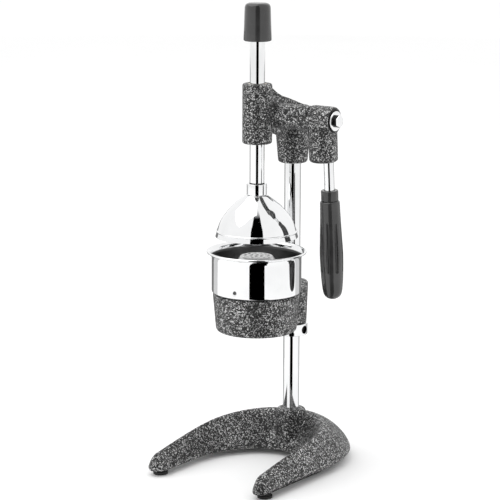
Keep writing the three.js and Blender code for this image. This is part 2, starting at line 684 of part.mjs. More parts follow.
function make_bell() {
  const bead = BELL_RIM + BELL_BEAD_RISE;
  const flare = [
    [BELL_COLLAR_RADIUS + CHAMFER, BELL_CROWN],
    ...[BELL_SHOULDER, BELL_WAIST, BELL_SKIRT].map(([radius, drop]) => [radius, BELL_CROWN - drop]),
    [BELL_RIM_RADIUS - 2 * BELL_BEAD, bead + BELL_BEAD],
  ];
  const outside = [
    [COLUMN_BOLT_RADIUS + FIT, BELL_CROWN],
    ...curve(flare, 6),
    [BELL_RIM_RADIUS - BELL_BEAD, bead + BELL_BEAD / 2],
    [BELL_RIM_RADIUS - BELL_BEAD, bead - BELL_BEAD / 2],
    [BELL_RIM_RADIUS - 1.5 * BELL_BEAD, bead - BELL_BEAD],
    [BELL_RIM_RADIUS, BELL_RIM],
  ];
  const inside = [
    [BELL_RIM_RADIUS - BELL_SHEET, BELL_RIM],
    [BELL_RIM_RADIUS - BELL_SHEET - 1.5 * BELL_BEAD, bead - BELL_BEAD],
    ...curve(flare, 6).reverse().slice(0, -1).map(([r, z]) => [r - BELL_SHEET, z - BELL_SHEET / 2]),
    [BELL_COLLAR_RADIUS - CHAMFER, BELL_CROWN - BELL_SHEET],
    [COLUMN_BOLT_RADIUS + FIT, BELL_CROWN - BELL_SHEET],
  ];
  return turned([...outside, ...inside], 'z', PLUNGER, WIDE);
}

add('pressing_bell', make_bell(), chrome);

add('bell_collar', turned([
  [ROD_RADIUS + FIT, BELL_CROWN + SEAT],
  [BELL_COLLAR_RADIUS, BELL_CROWN + SEAT],
  [BELL_COLLAR_RADIUS, BELL_COLLAR_TOP - CHAMFER],
  [BELL_COLLAR_RADIUS - CHAMFER, BELL_COLLAR_TOP],
  [ROD_RADIUS + FIT, BELL_COLLAR_TOP],
], 'z', PLUNGER), chrome);

const BELL_WASHER_TOP = BELL_CROWN - BELL_SHEET - SEAT;
const BELL_BOLT_TOP = BELL_WASHER_TOP - BELL_WASHER - SEAT;
add('bell_washer', ring(COLUMN_BOLT_RADIUS + FIT, 2 * COLUMN_BOLT_RADIUS,
  BELL_WASHER_TOP - BELL_WASHER, BELL_WASHER_TOP, 'z', PLUNGER, SMALL), stainless);
add('bell_bolt', hex_bolt(COLUMN_BOLT_RADIUS, BELL_BOLT_TOP, ROD_BOTTOM + BELL_BOLT_DEPTH, PLUNGER),
  stainless);

function make_rack_rod() {
  let body = turned([
    [0, ROD_BOTTOM],
    [ROD_RADIUS - CHAMFER, ROD_BOTTOM],
    [ROD_RADIUS, ROD_BOTTOM + CHAMFER],
    [ROD_RADIUS, ROD_TOP - CHAMFER],
    [ROD_RADIUS - CHAMFER, ROD_TOP],
    [0, ROD_TOP],
  ], 'z', PLUNGER).subtract(bar(COLUMN_BOLT_RADIUS + FIT, ROD_BOTTOM - PAST,
    ROD_BOTTOM + BELL_BOLT_DEPTH + DRILL_SPARE, 'z', PLUNGER, SMALL));
  const reach = ADDENDUM + PAST;
  const half_gap = PITCH / 4 + BACKLASH;
  const narrow = half_gap - DEDENDUM * Math.tan(PRESSURE_ANGLE);
  const wide = half_gap + reach * Math.tan(PRESSURE_ANGLE);
  const pitch_line = -THROW + RACK_PITCH_LINE;
  const below = Math.ceil((TRAVEL_UP + 2 * ADDENDUM) / PITCH) + 1;
  const above = Math.ceil((TRAVEL_DOWN + 2 * ADDENDUM) / PITCH) + 1;
  for (let i = -below; i <= above; i += 1) {
    const height = PINION_Z + i * PITCH;
    body = body.subtract(slab([
      [pitch_line - DEDENDUM, height - narrow],
      [pitch_line + reach, height - wide],
      [pitch_line + reach, height + wide],
      [pitch_line - DEDENDUM, height + narrow],
    ], -ROD_RADIUS - PAST, ROD_RADIUS + PAST));
  }
  return body;
}

add('rack_rod', make_rack_rod(), chrome);

add('rod_cap', turned([
  [0, CAP_TOP],
  [CAP_TOP_RADIUS - CAP_CORNER, CAP_TOP],
  ...arc([CAP_TOP_RADIUS - CAP_CORNER, CAP_TOP - CAP_CORNER], CAP_CORNER, 70, 0, 3),
  [CAP_RADIUS, CAP_BOTTOM + CHAMFER],
  [CAP_RADIUS - CHAMFER, CAP_BOTTOM],
  [ROD_RADIUS + FIT, CAP_BOTTOM],
  [ROD_RADIUS + FIT, ROD_TOP + SEAT],
  [0, ROD_TOP + SEAT],
], 'z', PLUNGER), plastic);

// ---------------------------------------------------------------- head casting

const CIRCLIP_RADIUS = GEAR_ROOM + CIRCLIP_GROOVE;
const GROOVE_LEFT = -GEARBOX_LEFT + CIRCLIP_SETBACK;
const GROOVE_RIGHT = GROOVE_LEFT + CIRCLIP_THICKNESS + 2 * FIT;

// Side view of the web between the guide and the column boss: its ridge falls to the back in a
// hollow curve and then a straight slope, and an arch runs under it down to the boss.
function web_outline() {
  const guide_back = -THROW + GUIDE_RADIUS;
  const ridge = curve([
    [guide_back, GUIDE_TOP - 3.2],
    [guide_back + 8.3, GUIDE_TOP - 8.7],
    [guide_back + 16.3, GUIDE_TOP - 13.7],
    [guide_back + 26.3, GUIDE_TOP - 18.4],
    [guide_back + 39.3, GUIDE_TOP - 22.2],
  ], 8);
  const arch_foot = -HEAD_BOSS_TOP_RADIUS + 1.5;
  const arch_start = guide_back + 6;
  const arch_bottom = GUIDE_BOTTOM - 8;
  const arch = [];
  for (let i = 0; i <= 8; i += 1) {
    const angle = Math.PI / 2 * (1 - i / 8);
    arch.push([
      arch_start + (arch_foot - arch_start) * Math.sin(angle),
      arch_bottom + ARCH_HEIGHT * Math.cos(angle),
    ]);
  }
  return [
    [-THROW + ROD_RADIUS, GUIDE_TOP - 3],
    ...ridge,
    [HEAD_BOSS_TOP_RADIUS - 2, HEAD_BOSS_TOP - 1],
    [0, arch_bottom + 4],
    [0, arch_bottom],
    ...arch,
    [-THROW + ROD_RADIUS, arch_bottom + ARCH_HEIGHT],
  ];
}

function make_head() {
  const guide = turned([
    [0, GUIDE_BOTTOM],
    ...arc([GUIDE_RADIUS - GUIDE_CORNER, GUIDE_BOTTOM + GUIDE_CORNER], GUIDE_CORNER, -90, 0, 3),
    [GUIDE_RADIUS, GUIDE_TOP - CHAMFER],
    [GUIDE_RADIUS - CHAMFER, GUIDE_TOP],
    [0, GUIDE_TOP],
  ], 'z', PLUNGER);
  const boss = turned([
    [0, HEAD_BOTTOM],
    [HEAD_BOSS_RADIUS - BOSS_CORNER / 2, HEAD_BOTTOM],
    [HEAD_BOSS_RADIUS, HEAD_BOTTOM + BOSS_CORNER / 2],
    [HEAD_BOSS_TOP_RADIUS, HEAD_BOTTOM + HEAD_BOSS_HEIGHT / 2],
    ...arc([HEAD_BOSS_TOP_RADIUS - BOSS_CORNER, HEAD_BOSS_TOP - BOSS_CORNER], BOSS_CORNER, 0, 90, 3),
    [0, HEAD_BOSS_TOP],
  ]);
  const bush_bore = ROD_RADIUS + BUSH_WALL + 2 * FIT;
  const shaft_bore = SHAFT_RADIUS + BUSH_WALL + 2 * FIT;
  let body = guide
    .add(slab(web_outline(), -WEB_HALF_WIDTH, WEB_HALF_WIDTH))
    .add(boss)
    .add(bar(GEARBOX_RADIUS, -GEARBOX_LEFT, GEARBOX_RIGHT, 'x', PINION))
    .add(bar(BARREL_RADIUS, 0, BARREL_END, 'x', PINION))
    .subtract(bar(bush_bore, GUIDE_BOTTOM - PAST, GUIDE_TOP + PAST, 'z', PLUNGER))
    .subtract(bar(GEAR_ROOM, -GEARBOX_LEFT - PAST, GEAR_END, 'x', PINION))
    .subtract(bar(shaft_bore, 0, BARREL_END + PAST, 'x', PINION))
    .subtract(bar(CIRCLIP_RADIUS + FIT, GROOVE_LEFT, GROOVE_RIGHT, 'x', PINION))
    .subtract(bar(COLUMN_RADIUS + FIT, HEAD_BOTTOM - PAST, COLUMN_TOP + SEAT));
  for (const rise of HEAD_GRUB_RISES) {
    body = body.subtract(bar(GRUB_RADIUS + FIT, 0, HEAD_BOSS_TOP_RADIUS + PAST, 'y',
      [0, HEAD_BOTTOM + rise], SMALL));
  }
  return body;
}

add('head_casting', make_head(), hammertone);

HEAD_GRUB_RISES.forEach((rise, i) => {
  add(`head_grub_screw_${i + 1}`, grub(COLUMN_RADIUS, 'y', [0, HEAD_BOTTOM + rise]), black_steel);
});

const GUIDE_BUSH_OUTER = ROD_RADIUS + FIT + BUSH_WALL;
add('guide_bush_lower', ring(ROD_RADIUS + FIT, GUIDE_BUSH_OUTER, GUIDE_BOTTOM + BUSH_INSET,
  GUIDE_BOTTOM + BUSH_LENGTH, 'z', PLUNGER), bearing);
add('guide_bush_upper', ring(ROD_RADIUS + FIT, GUIDE_BUSH_OUTER, GUIDE_TOP - BUSH_LENGTH,
  GUIDE_TOP - BUSH_INSET, 'z', PLUNGER), bearing);

const SHAFT_BUSH_OUTER = SHAFT_RADIUS + FIT + BUSH_WALL;
add('shaft_bush_inner', ring(SHAFT_RADIUS + FIT, SHAFT_BUSH_OUTER, GEARBOX_RIGHT,
  GEARBOX_RIGHT + BUSH_LENGTH, 'x', PINION, SMALL), bearing);
add('shaft_bush_outer', ring(SHAFT_RADIUS + FIT, SHAFT_BUSH_OUTER, BARREL_END - BUSH_LENGTH,
  BARREL_END - BUSH_INSET, 'x', PINION, SMALL), bearing);

// The gearbox is closed on the left by a plug that carries the shaft's end, behind a circlip.
const COVER_LEFT = GROOVE_RIGHT + FIT;
const COVER_RADIUS = GEAR_ROOM - FIT;
const COVER_TO_ROD = PITCH_RADIUS + RACK_PITCH_LINE - COVER_RADIUS;
const ROD_HALF_WIDTH = Math.sqrt(Math.max(ROD_RADIUS ** 2 - COVER_TO_ROD ** 2, 0));
const COVER_RIGHT = -Math.max(PINION_WIDTH / 2 + HUB_GAP, ROD_HALF_WIDTH + FIT);
const JOURNAL_END = COVER_LEFT + GEARBOX_WALL;
add('gear_cover', turned([
  [0, COVER_LEFT],
  [COVER_RADIUS, COVER_LEFT],
  [COVER_RADIUS, COVER_RIGHT],
  [SHAFT_RADIUS + FIT, COVER_RIGHT],
  [SHAFT_RADIUS + FIT, JOURNAL_END - SEAT],
  [0, JOURNAL_END - SEAT],
], 'x', PINION), stainless);
const circlip_gap = block(
  [GROOVE_LEFT, PINION_Y - CIRCLIP_OPENING / 2, PINION_Z - 2 * GEAR_ROOM],
  [GROOVE_RIGHT, PINION_Y + CIRCLIP_OPENING / 2, PINION_Z],
);
add('cover_circlip', ring(CIRCLIP_RADIUS - CIRCLIP_WIDTH, CIRCLIP_RADIUS, GROOVE_LEFT + FIT,
  GROOVE_RIGHT - FIT, 'x', PINION).subtract(circlip_gap), black_steel);

// ---------------------------------------------------------------- pinion shaft

// Involute teeth, one of them pointing straight at the rack.
function pinion_outline() {
  const base = PITCH_RADIUS * Math.cos(PRESSURE_ANGLE);
  const involute = (angle) => Math.tan(angle) - angle;
  const half_pitch_angle = (PITCH / 2 - BACKLASH) / (2 * PITCH_RADIUS);
  const half_angle = (radius) => half_pitch_angle + involute(PRESSURE_ANGLE)
    - involute(Math.acos(Math.min(base / radius, 1)));
  const tip = PITCH_RADIUS + ADDENDUM;
  const root = PITCH_RADIUS - DEDENDUM;
  const flank = [0, 0.5, 1].map((share) => base + (tip - base) * share);
  const points = [];
  for (let i = 0; i < TEETH; i += 1) {
    const middle = Math.PI - LEVER_TILT + 2 * Math.PI * i / TEETH;
    const rising = flank.map((radius) => [radius, middle - half_angle(radius)]);
    const falling = flank.map((radius) => [radius, middle + half_angle(radius)]).reverse();
    points.push([root, middle - half_angle(base)], ...rising, ...falling,
      [root, middle + half_angle(base)]);
  }
  return points.map(([radius, angle]) => [radius * Math.cos(angle), radius * Math.sin(angle)]);
}

const KEY_START = HUB_START + KEY_SETBACK;
const KEY_BOTTOM = HUB_SEAT_RADIUS - KEY_SIZE / 2;
const pinion_shaft = slab(pinion_outline(), -PINION_WIDTH / 2, PINION_WIDTH / 2)
  .add(bar(SHAFT_RADIUS, JOURNAL_END, HUB_START - SEAT, 'x', [0, 0]))
  .add(bar(HUB_SEAT_RADIUS, 0, SHAFT_END, 'x', [0, 0]))
  .subtract(bar(HUB_BOLT_RADIUS + FIT, SHAFT_END - HUB_BOLT_DEPTH - DRILL_SPARE, SHAFT_END + PAST,
    'x', [0, 0], SMALL))
  .subtract(block([KEY_START - FIT, -KEY_SIZE / 2 - FIT, KEY_BOTTOM - FIT],
    [KEY_START + KEY_LENGTH + FIT, KEY_SIZE / 2 + FIT, HUB_SEAT_RADIUS + PAST]));
add('pinion_shaft', pinion_shaft, gear_steel, lever);

add('hub_key', block([KEY_START, -KEY_SIZE / 2, KEY_BOTTOM],
  [KEY_START + KEY_LENGTH, KEY_SIZE / 2, KEY_BOTTOM + KEY_SIZE]), gear_steel, lever);

// ---------------------------------------------------------------- lever

const WASHER_START = HUB_END + SEAT;
const BOLT_HEAD_START = WASHER_START + WASHER_THICKNESS + SEAT;
const HANDLE_START = -(HUB_SEAT_RADIUS + HANDLE_TOP_WALL);
const HANDLE_GRUB_HEIGHT = -0.7 * LUG_DROP;

function make_hub() {
  const end_corner = HUB_CORNER / 2;
  const barrel = turned([
    [0, HUB_START],
    ...arc([HUB_RADIUS - HUB_CORNER, HUB_START + HUB_CORNER], HUB_CORNER, -90, 0, 3),
    ...arc([HUB_RADIUS - end_corner, HUB_END - end_corner], end_corner, 0, 90, 3),
    [0, HUB_END],
  ], 'x');
  const lug_top = -0.75 * HUB_RADIUS;
  const lug = turned([
    [0, lug_top],
    [LUG_RADIUS, lug_top],
    ...arc([LUG_RADIUS - LUG_CORNER, LUG_CORNER - LUG_DROP], LUG_CORNER, 0, -90, 3),
    [0, -LUG_DROP],
  ], 'z', [HUB_END - LUG_RADIUS, 0]);
  const barrel_room = bar(BARREL_RADIUS + HUB_GAP, 0, HUB_START, 'x', [0, 0]);
  return barrel
    .add(lug.subtract(barrel_room))
    .subtract(bar(HUB_SEAT_RADIUS + FIT, HUB_START - PAST, HUB_END + PAST, 'x', [0, 0]))
    .subtract(block([HUB_START - PAST, -KEY_SIZE / 2 - FIT, 0],
      [KEY_START + KEY_LENGTH + FIT, KEY_SIZE / 2 + FIT, KEY_BOTTOM + KEY_SIZE + FIT]))
    .subtract(bar(HANDLE_RADIUS + FIT, -LUG_DROP - PAST, HANDLE_START + SEAT, 'z', [HANDLE_X, 0]))
    .subtract(bar(GRUB_RADIUS + FIT, 0, LUG_RADIUS + PAST, 'y', [HANDLE_X, HANDLE_GRUB_HEIGHT],
      SMALL));
}

add('lever_hub', make_hub(), hammertone, lever);
add('hub_washer', ring(HUB_BOLT_RADIUS + FIT, WASHER_RADIUS, WASHER_START,
  WASHER_START + WASHER_THICKNESS, 'x', [0, 0]), chrome, lever);
const hub_bolt_head = bar(BOLT_HEAD_RADIUS, BOLT_HEAD_START, BOLT_HEAD_START + BOLT_HEAD_HEIGHT,
  'x', [0, 0], 6);
const hub_bolt_shank = bar(HUB_BOLT_RADIUS, SHAFT_END - HUB_BOLT_DEPTH, BOLT_HEAD_START + PAST, 'x',
  [0, 0], SMALL);
add('hub_bolt', hub_bolt_head.add(hub_bolt_shank), chrome, lever);
add('handle_grub_screw', grub(HANDLE_RADIUS, 'y', [HANDLE_X, HANDLE_GRUB_HEIGHT]), black_steel,
  lever);

const HANDLE_END = GRIP_TOP - GRIP_BORE_DEPTH + SEAT;
add('handle_rod', turned([
  [0, HANDLE_START],
  [HANDLE_RADIUS - CHAMFER, HANDLE_START],
  [HANDLE_RADIUS, HANDLE_START - CHAMFER],
  [HANDLE_RADIUS, HANDLE_END + CHAMFER],
  [HANDLE_RADIUS - CHAMFER, HANDLE_END],
  [0, HANDLE_END],
], 'z', [HANDLE_X, 0]), chrome, lever);

add('grip_ferrule', turned([
  [HANDLE_RADIUS + FIT, -FERRULE_DROP],
  [FERRULE_RADIUS - CHAMFER, -FERRULE_DROP],
  [FERRULE_RADIUS, -FERRULE_DROP - CHAMFER],
  [FERRULE_RADIUS, -FERRULE_DROP - FERRULE_LENGTH],
  [HANDLE_RADIUS + FIT, -FERRULE_DROP - FERRULE_LENGTH],
], 'z', [HANDLE_X, 0]), plastic, lever);

function make_grip() {
  const end = GRIP_TOP - GRIP_LENGTH;
  const swell = curve([
    [GRIP_TOP_RADIUS, GRIP_TOP - 2 * CHAMFER],
    [GRIP_TOP_RADIUS + CHAMFER, GRIP_TOP - 0.2 * GRIP_LENGTH],
    [GRIP_MIDDLE_RADIUS, GRIP_TOP - 0.55 * GRIP_LENGTH],
    [GRIP_MIDDLE_RADIUS - CHAMFER, GRIP_TOP - 0.75 * GRIP_LENGTH],
    [GRIP_END_RADIUS, end + 0.45 * GRIP_END_RADIUS],
  ], 8);
  const outline = [
    [0, end],
    [0.55 * GRIP_END_RADIUS, end + CHAMFER],
    ...swell.reverse(),
    [GRIP_TOP_RADIUS - 2 * CHAMFER, GRIP_TOP],
    [HANDLE_RADIUS + FIT, GRIP_TOP],
    [HANDLE_RADIUS + FIT, GRIP_TOP - GRIP_BORE_DEPTH],
    [0, GRIP_TOP - GRIP_BORE_DEPTH],
  ];
  let body = turned(outline, 'z', [HANDLE_X, 0]);
  for (let i = 0; i < FLUTES; i += 1) {
    const angle = 2 * Math.PI * (i + 0.25) / FLUTES;
    const reach = GRIP_MIDDLE_RADIUS + FLUTE_RADIUS - FLUTE_DEPTH;
    const groove = new THREE.CapsuleGeometry(FLUTE_RADIUS, FLUTE_LENGTH, 2, 6);
    groove.rotateX(Math.PI / 2).translate(
      HANDLE_X + reach * Math.cos(angle),
      reach * Math.sin(angle),
      GRIP_TOP - FLUTE_START - FLUTE_LENGTH / 2,
    );
    body = body.subtract(solid(groove));
  }
  return body;
}

add('handle_grip', make_grip(), plastic, lever);

// ---------------------------------------------------------------- stand it on its footprint

const footprint = new THREE.Box3().setFromObject(press).getCenter(new THREE.Vector3());
press.position.set(-footprint.x, -footprint.y, 0);

export default press;
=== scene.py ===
# %% [markdown]
# # A hand press for citrus fruit
# A lever turns a pinion, the pinion drives a toothed rod down, and a bell on the rod's end presses
# half a fruit on to a strainer cone. The solids that move and collide are loaded first as a fixed
# frame. Every piece below is a finer body in the same place, with the finish of the real one.

# %% Load the frame
import json
import math
import bmesh
import bpy
from mathutils import Matrix, Vector


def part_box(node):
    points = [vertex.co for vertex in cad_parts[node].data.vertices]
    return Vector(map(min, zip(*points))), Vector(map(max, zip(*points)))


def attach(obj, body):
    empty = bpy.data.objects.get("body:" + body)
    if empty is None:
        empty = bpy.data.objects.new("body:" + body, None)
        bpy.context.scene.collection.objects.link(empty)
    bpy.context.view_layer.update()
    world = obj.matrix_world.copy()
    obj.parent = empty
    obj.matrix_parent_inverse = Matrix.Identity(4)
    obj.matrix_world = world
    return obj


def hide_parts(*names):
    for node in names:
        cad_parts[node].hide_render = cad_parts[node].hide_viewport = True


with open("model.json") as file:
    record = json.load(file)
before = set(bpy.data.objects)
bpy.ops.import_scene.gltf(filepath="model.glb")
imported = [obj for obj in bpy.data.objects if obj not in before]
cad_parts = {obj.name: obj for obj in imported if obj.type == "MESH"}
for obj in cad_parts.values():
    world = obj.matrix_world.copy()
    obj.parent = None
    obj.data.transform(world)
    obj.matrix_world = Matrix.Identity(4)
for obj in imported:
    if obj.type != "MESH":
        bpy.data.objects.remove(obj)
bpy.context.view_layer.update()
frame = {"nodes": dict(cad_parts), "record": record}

# %% [markdown]
# ## Where things are
# Everything hangs on four axes: the column, the plunger's rod, the pinion's shaft and the handle.
# They are read from the frame, so nothing is fitted by eye. Lengths below are in millimetres and
# become metres when a mesh is made.

# %% The four axes
MM = 0.001


def span(node):
    low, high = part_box(node)
    return low / MM, high / MM


def middle(node):
    low, high = span(node)
    return (low + high) / 2


def radius(node):
    low, high = span(node)
    return (high.x - low.x) / 2


def bottom_and_top(node):
    low, high = span(node)
    return low.z, high.z


def move(x, y, z=0.0):
    return Matrix.Translation(Vector((x, y, z)) * MM)


LEVER_TILT = math.radians(4.2)
shaft_centre = middle("shaft_bush_outer")
MIDDLE_X = middle("rod_cap").x
ON_COLUMN = move(middle("column").x, middle("column").y)
ON_ROD = move(middle("rod_cap").x, middle("rod_cap").y)
ON_SHAFT = move(MIDDLE_X, shaft_centre.y, shaft_centre.z)
ON_LEVER = ON_SHAFT @ Matrix.Rotation(LEVER_TILT, 4, "X")
LAID_ALONG_X = Matrix.Rotation(math.pi / 2, 4, "Y")
HANDLE_X = middle("handle_rod").x - MIDDLE_X
ON_HANDLE = ON_LEVER @ move(HANDLE_X, 0)
LOOSE = 0.25  # gap between a bar and the piece it passes through
for name, centre in (("column", middle("column")), ("shaft", shaft_centre)):
    print(name, "centre", [round(value, 1) for value in centre])

# %% [markdown]
# ## A small kit for node trees
# Finishes are node trees. A few helpers keep them short: one puts a node in a tree and joins its
# inputs by name, another makes a node group with named sockets.

# %% Node helpers


def put(tree, kind, settings=None, **inputs):
    """A node with its settings and inputs filled in. Inputs a, b and c are the first three sockets."""
    node = tree.nodes.new(kind)
    for name, value in (settings or {}).items():
        setattr(node, name, value)
    for name, value in inputs.items():
        key = "abc".index(name) if name in ("a", "b", "c") else name.replace("_", " ")
        socket = node.inputs[key]
        if isinstance(value, bpy.types.NodeSocket):
            tree.links.new(value, socket)
        else:
            socket.default_value = value
    return node


def maths(tree, operation, a, b=0.0):
    return put(tree, "ShaderNodeMath", {"operation": operation}, a=a, b=b).outputs[0]


def between(tree, value, low, high, to_low=0.0, to_high=1.0):
    node = put(tree, "ShaderNodeMapRange", {"clamp": True}, Value=value, From_Min=low, From_Max=high,
               To_Min=to_low, To_Max=to_high)
    return node.outputs["Result"]


def tint(tree, factor, first, second):
    node = tree.nodes.new("ShaderNodeMix")
    node.data_type = "RGBA"
    for index, value in ((0, factor), (6, first), (7, second)):
        if isinstance(value, bpy.types.NodeSocket):
            tree.links.new(value, node.inputs[index])
        else:
            node.inputs[index].default_value = value
    return node.outputs[2]


def grey(value, alpha=1.0):
    return (value, value, value, alpha)


def new_group(name, inputs, outputs):
    tree = bpy.data.node_groups.new(name, "ShaderNodeTree")
    for label, kind, default in inputs:
        socket = tree.interface.new_socket(name=label, in_out="INPUT", socket_type=kind)
        if default is not None:
            socket.default_value = default
    for label, kind in outputs:
        tree.interface.new_socket(name=label, in_out="OUTPUT", socket_type=kind)
    return tree, tree.nodes.new("NodeGroupInput").outputs, tree.nodes.new("NodeGroupOutput").inputs


# %% [markdown]
# ## Hammertone enamel, as a group
# Hammertone paint is a dark enamel full of aluminium flakes that gather in little islands while it
# dries. Two noises of different sizes, added and cut hard, give the islands; the flakes are
# brighter and more metallic than the enamel between them, and the skin is slightly dimpled.

# %% The fleck group
FLOAT, COLOUR, VECTOR = "NodeSocketFloat", "NodeSocketColor", "NodeSocketVector"

flecks, given, out = new_group("hammertone_flecks", [
    ("Coordinate", VECTOR, None),
    ("Fleck Size mm", FLOAT, 1.5),
    ("Silver Start", FLOAT, 0.47),
    ("Silver Full", FLOAT, 0.66),
    ("Enamel", COLOUR, grey(0.012)),
    ("Silver", COLOUR, grey(0.6)),
], [("Colour", COLOUR), ("Flake", FLOAT), ("Roughness", FLOAT), ("Height", FLOAT)])
per_metre = maths(flecks, "DIVIDE", 1000.0, given["Fleck Size mm"])
islands = put(flecks, "ShaderNodeTexNoise", None, Vector=given["Coordinate"], Scale=per_metre,
              Detail=1.5, Roughness=0.55)
grains = put(flecks, "ShaderNodeTexVoronoi", {"feature": "F1"}, Vector=given["Coordinate"],
             Scale=maths(flecks, "MULTIPLY", per_metre, 0.8))
cell_light = put(flecks, "ShaderNodeSeparateColor", None, Color=grains.outputs["Color"]).outputs[0]
drift = put(flecks, "ShaderNodeTexNoise", None, Vector=given["Coordinate"],
            Scale=maths(flecks, "MULTIPLY", per_metre, 0.12), Detail=2.0)
raw = maths(flecks, "ADD", maths(flecks, "MULTIPLY", islands.outputs["Fac"], 0.72),
            maths(flecks, "MULTIPLY", cell_light, 0.22))
raw = maths(flecks, "ADD", raw, maths(flecks, "MULTIPLY", drift.outputs["Fac"], 0.06))
flake = between(flecks, raw, given["Silver Start"], given["Silver Full"])
flecks.links.new(tint(flecks, flake, given["Enamel"], given["Silver"]), out["Colour"])
flecks.links.new(flake, out["Flake"])
flecks.links.new(between(flecks, flake, 0.0, 1.0, 0.5, 0.34), out["Roughness"])
flecks.links.new(raw, out["Height"])
print("group", flecks.name)

# %% [markdown]
# ## Handling marks, as a group
# No polished or moulded surface is even: fingers and cloths leave patches that are a little duller,
# and there is a very fine texture under them. One group gives both, and each finish sets how strong
# they are. A second group draws the fine lines of brushed or turned metal along one direction.

# %% The handling and brushing groups


def hand_out(tree, given, out, mask, first, second, height):
    """Mixes two colours and two roughnesses by a mask, and gives them out with a height."""
    spread = maths(tree, "SUBTRACT", given["Dullest"], given["Smoothest"])
    dull = maths(tree, "ADD", given["Smoothest"], maths(tree, "MULTIPLY", mask, spread))
    tree.links.new(tint(tree, mask, given[first], given[second]), out["Colour"])
    tree.links.new(dull, out["Roughness"])
    tree.links.new(height, out["Height"])


handling, given, out = new_group("handling_marks", [
    ("Coordinate", VECTOR, None),
    ("Patches Per Metre", FLOAT, 30.0),
    ("Smoothest", FLOAT, 0.04),
    ("Dullest", FLOAT, 0.1),
    ("Grain Per Metre", FLOAT, 900.0),
    ("Clean", COLOUR, grey(0.9)),
    ("Handled", COLOUR, grey(0.8)),
], [("Colour", COLOUR), ("Roughness", FLOAT), ("Height", FLOAT)])
patches = put(handling, "ShaderNodeTexNoise", None, Vector=given["Coordinate"],
              Scale=given["Patches Per Metre"], Detail=4.0, Roughness=0.6)
patch = between(handling, patches.outputs["Fac"], 0.38, 0.68)
grain = put(handling, "ShaderNodeTexNoise", None, Vector=given["Coordinate"],
            Scale=given["Grain Per Metre"], Detail=2.0)
hand_out(handling, given, out, patch, "Clean", "Handled", grain.outputs["Fac"])

brushing, given, out = new_group("brushed_lines", [
    ("Coordinate", VECTOR, None),
    ("Lines Along", VECTOR, (1.0, 1.0, 60.0)),
    ("Lines Per Metre", FLOAT, 60.0),
    ("Smoothest", FLOAT, 0.2),
    ("Dullest", FLOAT, 0.4),
    ("Bright", COLOUR, grey(0.7)),
    ("Dark", COLOUR, grey(0.5)),
], [("Colour", COLOUR), ("Roughness", FLOAT), ("Height", FLOAT)])
stretched = put(brushing, "ShaderNodeVectorMath", {"operation": "MULTIPLY"}, a=given["Coordinate"],
                b=given["Lines Along"]).outputs[0]
lines = put(brushing, "ShaderNodeTexNoise", None, Vector=stretched, Scale=given["Lines Per Metre"],
            Detail=3.0, Roughness=0.7)
line = between(brushing, lines.outputs["Fac"], 0.35, 0.65)
hand_out(brushing, given, out, line, "Bright", "Dark", line)
print("groups", handling.name, brushing.name)

# %% [markdown]
# ## The finishes
# Each finish is one material that feeds a group into a Principled shader. The numbers that never
# change over the surface, such as the coat's roughness, are set on the shader itself.

# %% Make a finish from a group


def finish(name, group, bump, depth_mm, shader_values, **group_values):
    material = bpy.data.materials.new(name)
    material.use_nodes = True
    tree = material.node_tree
    tree.nodes.clear()
    place = tree.nodes.new("ShaderNodeTexCoord").outputs["Object"]
    pattern = tree.nodes.new("ShaderNodeGroup")
    pattern.node_tree = group
    tree.links.new(place, pattern.inputs["Coordinate"])
    for label, value in group_values.items():
        pattern.inputs[label.replace("_", " ")].default_value = value
    shader = put(tree, "ShaderNodeBsdfPrincipled", None, **shader_values)
    tree.links.new(pattern.outputs["Colour"], shader.inputs["Base Color"])
    tree.links.new(pattern.outputs["Roughness"], shader.inputs["Roughness"])
    raised = put(tree, "ShaderNodeBump", None, Strength=bump, Distance=depth_mm * MM,
                 Height=pattern.outputs["Height"])
    tree.links.new(raised.outputs["Normal"], shader.inputs["Normal"])
    put(tree, "ShaderNodeOutputMaterial", None, Surface=shader.outputs["BSDF"])
    return material, tree, pattern, shader


FINISH = {}
material, tree, pattern, shader = finish(
    "hammertone_enamel", flecks, 0.3, 0.2, {"Specular_IOR_Level": 0.42},
    Fleck_Size_mm=1.25, Silver_Start=0.53, Silver_Full=0.665, Enamel=grey(0.009), Silver=grey(0.68))
tree.links.new(maths(tree, "MULTIPLY", pattern.outputs["Flake"], 0.85), shader.inputs["Metallic"])
FINISH["hammertone"] = material
FINISH["chrome"] = finish(
    "bright_chrome", handling, 0.015, 0.01, {"Metallic": 1.0}, Patches_Per_Metre=22.0,
    Smoothest=0.035, Dullest=0.06, Grain_Per_Metre=700.0, Clean=(0.86, 0.865, 0.87, 1),
    Handled=(0.8, 0.805, 0.81, 1))[0]
FINISH["stainless"] = finish(
    "satin_stainless", brushing, 0.04, 0.02, {"Metallic": 0.3}, Lines_Along=(40.0, 1.0, 1.0),
    Lines_Per_Metre=90.0, Smoothest=0.16, Dullest=0.3, Bright=grey(0.98),
    Dark=grey(0.9))[0]
FINISH["gear_steel"] = finish(
    "machined_steel", brushing, 0.1, 0.03, {"Metallic": 1.0}, Lines_Along=(60.0, 1.0, 1.0),
    Lines_Per_Metre=60.0, Smoothest=0.25, Dullest=0.5, Bright=grey(0.55), Dark=grey(0.33))[0]
FINISH["bearing"] = finish(
    "oiled_bronze", handling, 0.2, 0.05, {"Metallic": 1.0}, Patches_Per_Metre=120.0, Smoothest=0.3,
    Dullest=0.5, Grain_Per_Metre=2500.0, Clean=(0.78, 0.74, 0.66, 1), Handled=(0.5, 0.46, 0.4, 1))[0]
FINISH["plastic"] = finish(
    "black_gloss_moulding", handling, 0.05, 0.03, {"Coat_Weight": 0.3, "Coat_Roughness": 0.08},
    Patches_Per_Metre=35.0, Smoothest=0.12, Dullest=0.26, Grain_Per_Metre=1400.0,
    Clean=grey(0.022), Handled=grey(0.035))[0]
